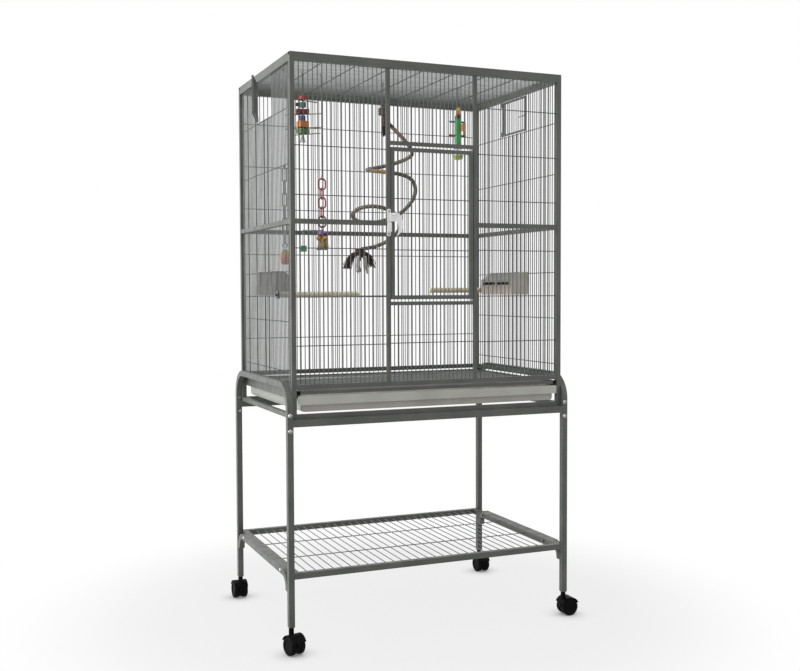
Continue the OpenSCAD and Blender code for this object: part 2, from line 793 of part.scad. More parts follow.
module feeder_tub() {
  x0 = wall_face - feeder_d;
  difference() {
    slab([x0, -feeder_w / 2, tub_z], [wall_face, feeder_w / 2, tub_z + tub_h]);
    slab([x0 + shell_t, -feeder_w / 2 + shell_t, tub_z + shell_t],
      [wall_face - shell_t, feeder_w / 2 - shell_t, tub_z + tub_h + cut]);
  }
  slab([x0 - feeder_lip, -feeder_w / 2, tub_z + tub_h - shell_t], [x0, feeder_w / 2, tub_z + tub_h]);
  hook_y = bay_y(floor(feeder_w * hook_reach_share / side_step));
  hook_z = feeder_wire_z + wire_d / 2 + seat_gap;
  for (s = [-1, 1]) translate([0, s * hook_y, 0]) {
    slab([wall_face - shell_t, -hook_w / 2, tub_z + tub_h], [wall_face, hook_w / 2, hook_z + shell_t]);
    slab([wall_face - shell_t, -hook_w / 2, hook_z], [post_x, hook_w / 2, hook_z + shell_t]);
  }
}

// Block with a hood's outline in X and Z, inset by a wall thickness and carried down below its foot
module hood_block(t, down) {
  x0 = wall_face - feeder_d + t;
  x1 = wall_face - shell_t - weld_gap - t;
  translate([0, feeder_w / 2 - t, tub_z + tub_h]) rotate([90, 0, 0]) linear_extrude(feeder_w - 2 * t)
    polygon([[x0, -down], [x1, -down], [x1, hood_h - t], [x1 - feeder_d * hood_flat_share, hood_h - t],
      [x0, hood_h * hood_front_share - t / 2]]);
}

module feeder_hood() {
  z0 = tub_z + tub_h;
  win_w = (feeder_w - 3 * window_margin) / 2;
  difference() {
    hood_block(0, 0);
    hood_block(shell_t, cut);
    for (s = [0, 1]) mirror([0, s, 0])
      slab([wall_face - feeder_d - cut, window_margin / 2, z0 + window_sill],
        [wall_face - feeder_d + shell_t + cut, window_margin / 2 + win_w, z0 + window_sill + window_h]);
  }
}

module on_left_wall() {
  translate([0, left_feeder_bays * side_step, 0]) mirror([1, 0, 0]) children();
}
module left_feeder_tub() { color([0.6, 0.58, 0.55]) on_left_wall() feeder_tub(); }
module left_feeder_hood() { color([0.6, 0.58, 0.55]) on_left_wall() feeder_hood(); }
module right_feeder_tub() { color([0.6, 0.58, 0.55]) feeder_tub(); }
module right_feeder_hood() { color([0.6, 0.58, 0.55]) feeder_hood(); }

// Wooden perches, each screwed to a side wall between two wires, clear of the feeder's end
perch_washer_d = 22;
perch_clear = 3;
perch_bay = ceil((feeder_w / 2 + perch_washer_d / 2 + perch_clear) / side_step - bay_shift);
perch_y = bay_y(perch_bay);
perch_washer_t = 2;
perch_bolt_d = 5;
perch_bolt_in = 20;
perch_nose = 3;
// Heights of the left and the right perch, as shares of the lower half of a wall
perch_up_shares = [0.56, 0.586];
perch_z = along(low_z, perch_up_shares);
inner_face = post_x - wire_d / 2 - weld_gap;
outer_face = post_x + wire_d / 2 + weld_gap;
nut_d = 9;
nut_h = 5;
wing_w = 24;
wing_t = 2;
wing_h = 8;

// Perch that reaches towards -X from the right wall
module perch(y, z) {
  translate([inner_face - perch_washer_t, y, z]) rotate([0, -90, 0]) difference() {
    union() {
      cylinder(h = perch_len - perch_nose, d = perch_d);
      translate([0, 0, perch_len - perch_nose])
        cylinder(h = perch_nose, d1 = perch_d, d2 = perch_d - 2 * perch_nose);
    }
    translate([0, 0, -cut]) cylinder(h = perch_bolt_in + 2 * cut, d = perch_bolt_d + 2 * weld_gap);
  }
}
module perch_fitting(y, z) {
  translate([0, y, z]) rotate([0, 90, 0]) {
    translate([0, 0, inner_face - perch_washer_t]) difference() {
      cylinder(h = perch_washer_t, d = perch_washer_d);
      translate([0, 0, -cut]) cylinder(h = perch_washer_t + 2 * cut, d = perch_bolt_d + 2 * weld_gap);
    }
    translate([0, 0, outer_face]) difference() {
      union() {
        cylinder(h = perch_washer_t, d = perch_washer_d);
        translate([0, 0, perch_washer_t]) cylinder(h = nut_h, d = nut_d);
        translate([-wing_t / 2, -wing_w / 2, perch_washer_t]) cube([wing_t, wing_w, wing_h]);
      }
      translate([0, 0, -cut])
        cylinder(h = perch_washer_t + wing_h + 2 * cut, d = perch_bolt_d + 2 * weld_gap);
    }
    translate([0, 0, inner_face - perch_washer_t - perch_bolt_in])
      cylinder(h = outer_face - inner_face + 2 * perch_washer_t + perch_bolt_in + nut_h, d = perch_bolt_d);
  }
}
module left_perch() { color([0.86, 0.73, 0.5]) mirror([1, 0, 0]) perch(-perch_y, perch_z[0]); }
module right_perch() { color([0.86, 0.73, 0.5]) perch(perch_y, perch_z[1]); }
module perch_fittings() {
  color([0.7, 0.7, 0.69]) {
    mirror([1, 0, 0]) perch_fitting(-perch_y, perch_z[0]);
    perch_fitting(perch_y, perch_z[1]);
  }
}

// Hanging toys: each hangs by a ring from a roof bar and swings about it
ring_d = 12;
ring_wire = 2;
ring_drop = ring_d / 2 - ring_wire / 2 - wire_d / 2 - seat_gap;
ring_foot = ring_drop + ring_d / 2;
toy_wire_d = 2.4;
toy_bore = toy_wire_d + 2 * seat_gap;

// Ring about a wire that lies along X at the origin
module hang_ring() {
  translate([0, 0, -ring_drop]) rotate([0, 90, 0]) rotate_extrude()
    translate([ring_d / 2, 0]) circle(d = ring_wire);
}

// Bell with its mouth down and its top at the origin
bell_d = 18;
bell_h = 20;
bell_t = 1.2;
bell_waist_share = 0.36;
bell_top_share = 0.2;
bell_lip_share = 0.3;
module bell() {
  waist = bell_d * bell_waist_share;
  top = bell_d * bell_top_share;
  translate([0, 0, -bell_h]) rotate_extrude() polygon([[bell_d / 2 - bell_t, 0], [bell_d / 2, 0],
    [waist, bell_h * bell_lip_share], [top, bell_h], [0, bell_h], [0, bell_h - bell_t],
    [top - bell_t, bell_h - bell_t], [waist - bell_t, bell_h * bell_lip_share]]);
}

// Spiral rope perch, one unbroken rope with a cap at each end
rope_x_share = -0.1016;
rope_x = in_x * rope_x_share;
rope_y = bar_y(0);
rope_hook = 56;
rope_cap_h = 16;
rope_cap_t = 2;
rope_neck = 15;
rope_top_z = roof_z - ring_foot - rope_hook - rope_cap_h - rope_neck;
// Steep lead from the upper cap into the first turn
lead_share = 0.12;
lead_drop = 92;
lead_shift = 24;
// Count of the turns and the direction of the last one
rope_turns = 2.54;
rope_end_turn = 92;
// Sideways drift of the lower turns, and the stretch of the rope in which it happens
rope_shift = -54;
shift_span_shares = [0.55, 0.82];
// Radius of the first turns and narrowing of the last one, and the stretches in which they change
first_r_share = 0.71;
widen_span_shares = [0.46, 0.58];
taper_share = 0.25;
taper_span_shares = [0.45, 1];
// Part of the drop that gathers in the middle turns
sag_share = 0.5;
// Tilt of the first, the middle and the last turn, and the stretches in which it changes
tilt_shares = [0.1, 0.51, 0.42];
tilt_span_shares = [[0.3, 0.6], [0.65, 1]];
rope_rings = 60;
rope_sides = 6;
tail_bend = 18;
tail_steps = 6;
bell_drop = 14;

function smooth(u) = let (c = min(1, max(0, u))) c * c * (3 - 2 * c);
function span_share(t, span) = smooth((t - span[0]) / (span[1] - span[0]));
function lead(t) = span_share(t, [0, lead_share]);
function turn_r(t) = spiral_r * lead(t) * (1 - taper_share * span_share(t, taper_span_shares))
  * (first_r_share + (1 - first_r_share) * span_share(t, widen_span_shares));
function rope_drop(t) = lead_drop * lead(t) + spiral_drop * ((1 - sag_share) * t + sag_share * smooth(t));
function tilt(t) = tilt_shares[0] + (tilt_shares[1] - tilt_shares[0]) * span_share(t, tilt_span_shares[0])
  + (tilt_shares[2] - tilt_shares[1]) * span_share(t, tilt_span_shares[1]);
function spiral(t) = let (a = rope_end_turn - 360 * rope_turns * (1 - t), r = turn_r(t))
  [rope_x + lead_shift * lead(t) + rope_shift * span_share(t, shift_span_shares) + r * cos(a),
    rope_y + r * sin(a), rope_top_z - rope_drop(t) - tilt(t) * r * sin(a)];

function unit(v) = v / norm(v);
tail_way = unit(spiral(1) - spiral(1 - 1 / rope_rings));
// Bend at the rope's lower end, from the way of the last turn to straight down
function tail(u) = let (p = spiral(1), q = p + tail_bend * tail_way, e = q - [0, 0, tail_bend])
  (1 - u) * (1 - u) * p + 2 * u * (1 - u) * q + u * u * e;
rope_path = concat([spiral(0) + [0, 0, rope_neck]], [for (i = [0 : rope_rings]) spiral(i / rope_rings)],
  [for (i = [1 : tail_steps]) tail(i / tail_steps)]);

function way(p, i) = (i == 0 || i == len(p) - 1) ? [0, 0, -1] : unit(p[i + 1] - p[i - 1]);
// Direction across the path, carried along it with as little turning as possible
function across_way(p, i) = i == 0 ? [1, 0, 0] :
  let (t = way(p, i), u = across_way(p, i - 1)) unit(u - (u * t) * t);
function ring_at(p, i, r, n) = let (t = way(p, i), u = across_way(p, i), v = cross(t, u))
  [for (k = [0 : n - 1]) p[i] + r * cos(360 * k / n) * u + r * sin(360 * k / n) * v];

// Tube swept along a path, with triangles for faces
module swept(p, r, n) {
  m = len(p);
  points = [for (i = [0 : m - 1]) each ring_at(p, i, r, n)];
  sides = [for (i = [0 : m - 2], k = [0 : n - 1]) each let (a = i * n + k, b = i * n + (k + 1) % n)
    [[a, b, b + n], [a, b + n, a + n]]];
  ends = [for (k = [1 : n - 2]) each [[0, k + 1, k], [(m - 1) * n, (m - 1) * n + k, (m - 1) * n + k + 1]]];
  polyhedron(points = points, faces = concat(sides, ends));
}
// Least distance between stretches of the rope that are more than half a turn apart, less its diameter
half_turn = floor(rope_rings / rope_turns / 2);
rope_self_gap = min([for (i = [0 : len(rope_path) - 1], j = [i : len(rope_path) - 1])
  if (j - i > half_turn) norm(rope_path[i] - rope_path[j])]) - rope_d;
echo(rope_self_gap = rope_self_gap);

module rope_perch() {
  color([0.4, 0.3, 0.2]) swept(rope_path, rope_d / 2, rope_sides);
}

module rope_fittings() {
  top = rope_path[0];
  foot = rope_path[len(rope_path) - 1] - [0, 0, rope_cap_h];
  cap_d = rope_d + 2 * rope_cap_t;
  color([0.7, 0.7, 0.69]) {
    translate([rope_x, rope_y, roof_z]) hang_ring();
    translate(top) cylinder(h = rope_cap_h, d = cap_d);
    translate(top) cylinder(h = rope_cap_h + rope_hook, d = toy_wire_d);
    translate(foot) cylinder(h = rope_cap_h, d = cap_d);
    translate(foot - [0, 0, bell_drop]) {
      cylinder(h = bell_drop + rope_cap_h / 2, d = toy_wire_d);
      bell();
    }
  }
}

// Chains of oval links; a link's size is its length, its width and the thickness of its stock
eye_d = 12;
eye_wire = 2.4;
quarter_turn = 90;

// Oval link in the XZ plane, its length along Z
module oval_link(size) {
  r = (size[1] - size[2]) / 2;
  straight = size[0] - size[1];
  for (s = [0, 1]) mirror([0, 0, s]) translate([0, 0, straight / 2]) rotate([90, 0, 0])
    rotate_extrude(angle = 180) translate([r, 0]) circle(d = size[2]);
  for (s = [-1, 1]) wire_z(-straight / 2, straight / 2, s * r, 0, size[2]);
}
// Round eye in the YZ plane, the middle of its upper stock at the origin
module eye() {
  translate([0, 0, -eye_d / 2]) rotate([0, 90, 0]) rotate_extrude()
    translate([eye_d / 2, 0]) circle(d = eye_wire);
}
function eye_grip(size) = (eye_wire + size[2]) / 2 + seat_gap;
// Middle of a link, counted from nought, and the eye under the last one, for a drop wire of a given length
function link_z(len, size, i) = -ring_foot - len - eye_d + eye_grip(size) - (size[0] - size[2]) / 2
  - i * (size[0] - 2 * size[2] - seat_gap);
function low_eye_z(len, size, count) = link_z(len, size, count - 1) - (size[0] - size[2]) / 2
  + eye_grip(size);

// Ring on the roof bar, straight wire with a foot eye, and links under it
module chain(len, size, count) {
  hang_ring();
  wire_z(-ring_foot - len, -ring_foot, 0, 0, toy_wire_d);
  translate([0, 0, -ring_foot - len]) eye();
  for (i = [0 : count - 1]) translate([0, 0, link_z(len, size, i)]) rotate([0, 0, (i % 2) * quarter_turn])
    oval_link(size);
}

// Toy of wooden blocks and sticks on a wire, with a bell under them
block_toy_x_share = -0.782;
block_toy_x = in_x * block_toy_x_share;
block_toy_bar = -5;
block_top = 69;
block_w = 36;
block_stack = 105;
// Width and depth of each block as shares of the widest one, height and top as shares of the stack
block_shares = [[0.46, 0.46, 0.1, 0], [0.56, 0.56, 0.13, 0.172], [1, 0.7, 0.11, 0.36],
  [0.46, 0.46, 0.13, 0.526], [0.77, 0.62, 0.162, 0.674], [0.84, 0.66, 0.13, 0.87]];
block_round = [false, true, false, true, false, false];
block_turns = [20, 0, -12, 0, 16, 22];
// Blocks that have a stick under them, and the way that it points
stick_blocks = [0, 2, 4, 5];
stick_turns = [18, -35, -40, -45];
stick_d = 3;
stick_len = 106;
knob_d = 11;
knob_block = 1;

function block_foot(i) = -block_top - block_stack * (block_shares[i][2] + block_shares[i][3]);
block_toy_foot = block_foot(len(block_shares) - 1) - stick_d - 2 * weld_gap;

module block(i) {
  b = block_shares[i];
  h = block_stack * b[2];
  difference() {
    if (block_round[i]) cylinder(h = h, d = block_w * b[0]);
    else rotate([0, 0, block_turns[i]]) translate([-block_w * b[0] / 2, -block_w * b[1] / 2, 0])
      cube([block_w * b[0], block_w * b[1], h]);
    translate([0, 0, -cut]) cylinder(h = h + 2 * cut, d = toy_bore);
  }
}

module block_toy_wire() {
  color([0.7, 0.7, 0.69]) translate([block_toy_x, bar_y(block_toy_bar), roof_z]) {
    hang_ring();
    wire_z(block_toy_foot, -ring_foot, 0, 0, toy_wire_d);
    translate([0, 0, block_toy_foot]) bell();
  }
}
module block_toy_blocks() {
  color([0.75, 0.2, 0.15]) translate([block_toy_x, bar_y(block_toy_bar), roof_z]) {
    for (i = [0 : len(block_shares) - 1]) translate([0, 0, block_foot(i)]) block(i);
    for (k = [0 : len(stick_blocks) - 1])
      translate([0, 0, block_foot(stick_blocks[k]) - weld_gap - stick_d / 2]) rotate([0, 0, stick_turns[k]])
        wire_x(-stick_len / 2, stick_len / 2, (toy_wire_d + stick_d) / 2 + weld_gap, 0, stick_d);
    translate([-block_w * block_shares[knob_block][0] / 2 - weld_gap - knob_d / 2, 0,
      block_foot(knob_block) + block_stack * block_shares[knob_block][2] / 2]) sphere(d = knob_d);
  }
}

// Toy of plastic drums on a wire, with two bars through the tall one
bead_toy_x_share = 0.523;
bead_toy_x = in_x * bead_toy_x_share;
bead_toy_bar = 0;
bead_top = 57;
bead_w = 33;
bead_stack = 158;
// Upper and lower diameter of each drum as shares of the widest one, height and top as shares of the stack
bead_shares = [[0.36, 0.45, 0.169, 0], [0.58, 0.58, 0.055, 0.171], [0.61, 0.61, 0.514, 0.228],
  [0.79, 0.79, 0.057, 0.744], [1, 0.79, 0.076, 0.924]];
tall_bead = 2;
bead_bar_d = 6;
bead_bar_len = 58;
// Heights of the two bars as shares of the stack, and their lengths as shares of the longer one
bead_bar_shares = [[0.279, 0.88], [0.54, 1]];
bead_bar_y = toy_bore / 2 + bead_bar_d / 2 + 5 * weld_gap;
side_bead_d = 12;
side_bead_turn = -50;
side_bead_shares = [0.333, 0.465];
spindle_d = 9;
spindle_x_share = 0.84;
stop_d = 6;
stop_h = 3;

function bead_foot(i) = -bead_top - bead_stack * (bead_shares[i][2] + bead_shares[i][3]);
bead_toy_foot = bead_foot(len(bead_shares) - 1);
function bead_bar_z(k) = -bead_top - bead_stack * bead_bar_shares[k][0];

module bead_bar(k, d) {
  half = bead_bar_len * bead_bar_shares[k][1] / 2;
  wire_x(-half, half, bead_bar_y, bead_bar_z(k), d);
}
module bead_toy_wire() {
  color([0.7, 0.7, 0.69]) translate([bead_toy_x, bar_y(bead_toy_bar), roof_z]) {
    hang_ring();
    wire_z(bead_toy_foot - seat_gap, -ring_foot, 0, 0, toy_wire_d);
    translate([0, 0, bead_toy_foot - seat_gap - stop_h]) cylinder(h = stop_h, d = stop_d);
  }
}
module bead_toy_beads() {
  color([0.3, 0.65, 0.25]) translate([bead_toy_x, bar_y(bead_toy_bar), roof_z]) {
    for (i = [0 : len(bead_shares) - 1]) difference() {
      translate([0, 0, bead_foot(i)]) cylinder(h = bead_stack * bead_shares[i][2],
        d1 = bead_w * bead_shares[i][1], d2 = bead_w * bead_shares[i][0]);
      wire_z(bead_foot(i) - cut, bead_foot(i) + bead_stack * bead_shares[i][2] + cut, 0, 0, toy_bore);
      if (i == tall_bead) for (k = [0, 1]) bead_bar(k, bead_bar_d + 2 * weld_gap);
    }
    for (k = [0, 1]) bead_bar(k, bead_bar_d);
    rotate([0, 0, side_bead_turn]) wire_z(-bead_top - bead_stack * side_bead_shares[1],
      -bead_top - bead_stack * side_bead_shares[0],
      bead_w * bead_shares[tall_bead][0] / 2 + weld_gap + side_bead_d / 2, 0, side_bead_d);
    wire_z(bead_bar_z(1) + bead_bar_d / 2 + weld_gap, bead_bar_z(0) - bead_bar_d / 2 - weld_gap,
      bead_bar_len * spindle_x_share / 2, bead_bar_y, spindle_d);
  }
}

// Toy fruit on a chain
ball_toy_x_share = -0.9294;
ball_toy_x = in_x * ball_toy_x_share;
ball_toy_bar = -6;
ball_wire = 255;
ball_link = [42, 16, 3.6];
ball_links = 6;
ball_w = 26;
ball_h = 44;
ball_stem = 4;
// Outline of the fruit from its foot up: radius as a share of its width, height as a share of its height
ball_shares = [[0, 0], [0.27, 0.02], [0.42, 0.12], [0.5, 0.32], [0.5, 0.52], [0.44, 0.72], [0.3, 0.88],
  [0.1, 1], [0, 1]];
ball_eye_z = low_eye_z(ball_wire, ball_link, ball_links);

module ball_toy_links() {
  color([0.55, 0.55, 0.56]) translate([ball_toy_x, bar_y(ball_toy_bar), roof_z])
    chain(ball_wire, ball_link, ball_links);
}
module ball_toy_ball() {
  color([0.85, 0.5, 0.25]) translate([ball_toy_x, bar_y(ball_toy_bar), roof_z + ball_eye_z]) {
    rotate([0, 0, (ball_links + 1) % 2 * quarter_turn]) eye();
    wire_z(-eye_d - ball_stem, -eye_d, 0, 0, eye_wire);
    translate([0, 0, -eye_d - ball_stem - ball_h]) rotate_extrude()
      polygon([for (q = ball_shares) [q[0] * ball_w, q[1] * ball_h]]);
  }
}

// Toy of plastic links with beads and a tuft under them, and a cube on a side wire
chain_toy_x_share = -0.6298;
chain_toy_x = in_x * chain_toy_x_share;
chain_toy_bar = -4;
chain_wire = 278;
chain_link = [36, 25, 4.6];
chain_links = 5;
cluster_d = 16;
cluster_r = cluster_d / 2 + toy_wire_d / 2 + seat_gap;
cluster_rows = 2;
cluster_step = 13;
tuft_h = 25;
tuft_top_d = 16;
tuft_foot_d = 34;
arm_len = 58;
arm_drop = 45;
cube_w = 17;

module chain_toy() {
  eye_z = low_eye_z(chain_wire, chain_link, chain_links);
  stem_z = eye_z - eye_d;
  row_z = stem_z - eye_wire - cluster_d / 2;
  tuft_z = row_z - (cluster_rows - 1) * cluster_step - cluster_d / 2 - weld_gap;
  color([0.8, 0.15, 0.15]) translate([chain_toy_x, bar_y(chain_toy_bar), roof_z]) {
    chain(chain_wire, chain_link, chain_links);
    translate([0, 0, eye_z]) rotate([0, 0, (chain_links + 1) % 2 * quarter_turn]) eye();
    wire_z(tuft_z - tuft_h / 2, stem_z, 0, 0, toy_wire_d);
    for (j = [0 : cluster_rows - 1], i = [0 : 2]) rotate([0, 0, 120 * i + 60 * j])
      translate([cluster_r, 0, row_z - j * cluster_step]) sphere(d = cluster_d);
    translate([0, 0, tuft_z - tuft_h]) cylinder(h = tuft_h, d1 = tuft_foot_d, d2 = tuft_top_d);
    wire_x(-arm_len - toy_wire_d / 2, 0, 0, stem_z - eye_wire / 2, toy_wire_d);
    wire_z(stem_z - arm_drop, stem_z - eye_wire / 2, -arm_len, 0, toy_wire_d);
    translate([-arm_len - cube_w / 2, -cube_w / 2, stem_z - arm_drop - cube_w]) cube(cube_w);
  }
}

front_frame();
front_wires();
rear_frame();
rear_wires();
left_rails();
left_wires();
right_rails();
right_wires();
roof_frame();
roof_wires();
runners();
left_arch();
right_arch();
front_legs();
rear_legs();
leg_inserts();
seat_rails();
shelf_braces();
shelf_frame();
shelf_wires();
stand_bolts();
shelf_bolts();
caster_plugs();
front_left_fork();
front_left_wheels();
front_right_fork();
front_right_wheels();
rear_left_fork();
rear_left_wheels();
rear_right_fork();
rear_right_wheels();
door_frame();
door_wires();
door_pins();
latch_pivot();
latch_lever();
latch_keeper();
latch_screws();
left_nest_door();
right_nest_door();
grate_frame();
grate_wires();
grate_caps();
tray();
left_feeder_tub();
left_feeder_hood();
right_feeder_tub();
right_feeder_hood();
left_perch();
right_perch();
perch_fittings();
rope_perch();
rope_fittings();
block_toy_wire();
block_toy_blocks();
bead_toy_wire();
bead_toy_beads();
ball_toy_links();
ball_toy_ball();
chain_toy();
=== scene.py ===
"""Looks of the flight bird cage: finishes for every solid, the laid rope perch, tassels and raffia."""
import json
import math
import random

import bpy
from mathutils import Matrix, Vector


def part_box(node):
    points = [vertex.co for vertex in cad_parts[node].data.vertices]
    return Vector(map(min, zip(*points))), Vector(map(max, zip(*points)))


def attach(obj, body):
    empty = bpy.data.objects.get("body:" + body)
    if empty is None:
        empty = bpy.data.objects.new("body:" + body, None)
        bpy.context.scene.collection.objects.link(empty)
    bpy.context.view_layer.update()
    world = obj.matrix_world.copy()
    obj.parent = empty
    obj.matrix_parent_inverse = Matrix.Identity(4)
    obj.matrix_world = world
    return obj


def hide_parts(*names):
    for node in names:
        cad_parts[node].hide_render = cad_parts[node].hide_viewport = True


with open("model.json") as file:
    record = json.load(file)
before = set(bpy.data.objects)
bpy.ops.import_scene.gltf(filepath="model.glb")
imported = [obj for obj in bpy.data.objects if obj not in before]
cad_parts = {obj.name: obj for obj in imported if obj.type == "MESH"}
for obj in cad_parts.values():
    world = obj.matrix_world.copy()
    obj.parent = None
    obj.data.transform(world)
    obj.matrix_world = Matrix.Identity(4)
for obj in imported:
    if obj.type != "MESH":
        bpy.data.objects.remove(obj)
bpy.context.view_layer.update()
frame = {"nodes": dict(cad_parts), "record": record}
NODES = frame["nodes"]
MM = 0.001
scene = bpy.context.scene


# Colours, written as they look on a screen (0 to 255) and turned into light values

def tone(red, green, blue):
    """Light values of a screen colour, by the sRGB curve."""
    def linear(value):
        share = value / 255
        return share / 12.92 if share <= 0.04045 else ((share + 0.055) / 1.055) ** 2.4
    return (linear(red), linear(green), linear(blue), 1.0)


PAINT, PAINT_WORN = tone(76, 79, 74), tone(91, 93, 87)
WIRE, WIRE_WORN = tone(76, 80, 78), tone(94, 98, 96)
# Paler wire paint for the left wall and the grate: painted light from the left lamp and from above
WIRE_PAINTED_LIGHT, WIRE_WORN_PAINTED_LIGHT = tone(90, 94, 91), tone(110, 114, 111)
# Roof bars: painted light at the front, fading to painted shade at the rear
ROOF_LIT_FRONT, ROOF_HALF_LIT_MIDDLE, ROOF_SHADED_REAR = tone(188, 190, 190), tone(168, 171, 170), tone(80, 86, 81)
ROOF_CROSS = tone(46, 50, 48)
TOY_WIRE, TOY_WIRE_DULL = tone(80, 82, 81), tone(98, 100, 98)
STEEL, STEEL_DULL = tone(176, 176, 174), tone(140, 140, 138)
BLACK, BLACK_DULL = tone(6, 6, 7), tone(14, 14, 15)
WHEEL, WHEEL_DULL = tone(6, 6, 7), tone(18, 18, 19)
LATCH, LATCH_DULL = tone(252, 252, 250), tone(242, 242, 240)
LIP, LIP_DULL = tone(184, 186, 178), tone(166, 167, 159)
# The tray's left end is painted darker: painted shade against the left lamp
TRAY, TRAY_DULL, TRAY_END_PAINTED_SHADE = tone(186, 182, 174), tone(170, 166, 157), tone(146, 150, 143)
FEEDER, FEEDER_DULL, FEEDER_FRONT = tone(122, 120, 116), tone(108, 106, 102), tone(138, 131, 122)
PINKISH, PINKISH_DULL, RIGHT_FRONT = tone(172, 160, 152), tone(154, 142, 134), tone(196, 191, 182)
WOOD, WOOD_DARK = tone(224, 216, 196), tone(196, 185, 158)
CHAIN_GREY, CHAIN_GREY_DULL = tone(158, 160, 158), tone(132, 134, 133)
ROPE_TONES = [tone(16, 14, 13), tone(66, 60, 45), tone(108, 95, 77), tone(196, 184, 166)]
ROPE_PINK, ROPE_TAN = tone(156, 122, 114), tone(168, 122, 66)
TASSEL_DARK, TASSEL_RED = tone(18, 15, 16), tone(72, 24, 28)
OLIVE, OLIVE_DARK = tone(96, 90, 52), tone(42, 38, 26)
PALE_YARN, PALE_YARN_DULL = tone(210, 206, 198), tone(178, 173, 164)
RAFFIA, RAFFIA_DARK, RAFFIA_PALE = tone(196, 166, 100), tone(142, 112, 54), tone(226, 202, 144)
RED, DEEP_RED, ORANGE, BLUE = tone(164, 30, 42), tone(104, 20, 26), tone(194, 118, 40), tone(42, 64, 122)
TEAL, GREEN, LEAF, BLACKISH = tone(60, 108, 94), tone(66, 106, 44), tone(26, 146, 62), tone(18, 18, 21)
SKY, PURPLE, YELLOW, LIME = tone(42, 110, 148), tone(90, 57, 140), tone(220, 192, 75), tone(160, 176, 83)
GOLD, MINT, STICK = tone(204, 152, 52), tone(26, 148, 108), tone(116, 99, 78)
FRUIT_TONES = [tone(202, 62, 84), tone(218, 94, 88), tone(206, 138, 58), tone(160, 162, 54)]
FLOOR = tone(190, 190, 190)
WHITE = (1, 1, 1, 1)


# Materials, all from nodes

PATCH_STOPS = (0.38, 0.72)  # where a patchy tone leaves its first colour and reaches its second
PATCH_DETAIL, GLOSS_DETAIL, GRAIN_DETAIL = 6.0, 4.0, 2.0
GLOSS_TO_PATCH = 2.6  # patches of gloss for each patch of tone
NOISE_SPAN = (0.3, 0.7)  # where most of a noise lies
RANGE_SOCKETS = ("From Min", "From Max", "To Min", "To Max")
MIX_FACTOR, MIX_FIRST, MIX_SECOND, MIX_RESULT = 0, 6, 7, 2  # sockets of a mix of colours
NEW_STOPS = 2  # stops that a new ramp has already


def add(tree, kind, **settings):
    """A new node in a tree, with its settings."""
    made = tree.nodes.new(kind)
    for key, value in settings.items():
        setattr(made, key, value)
    return made


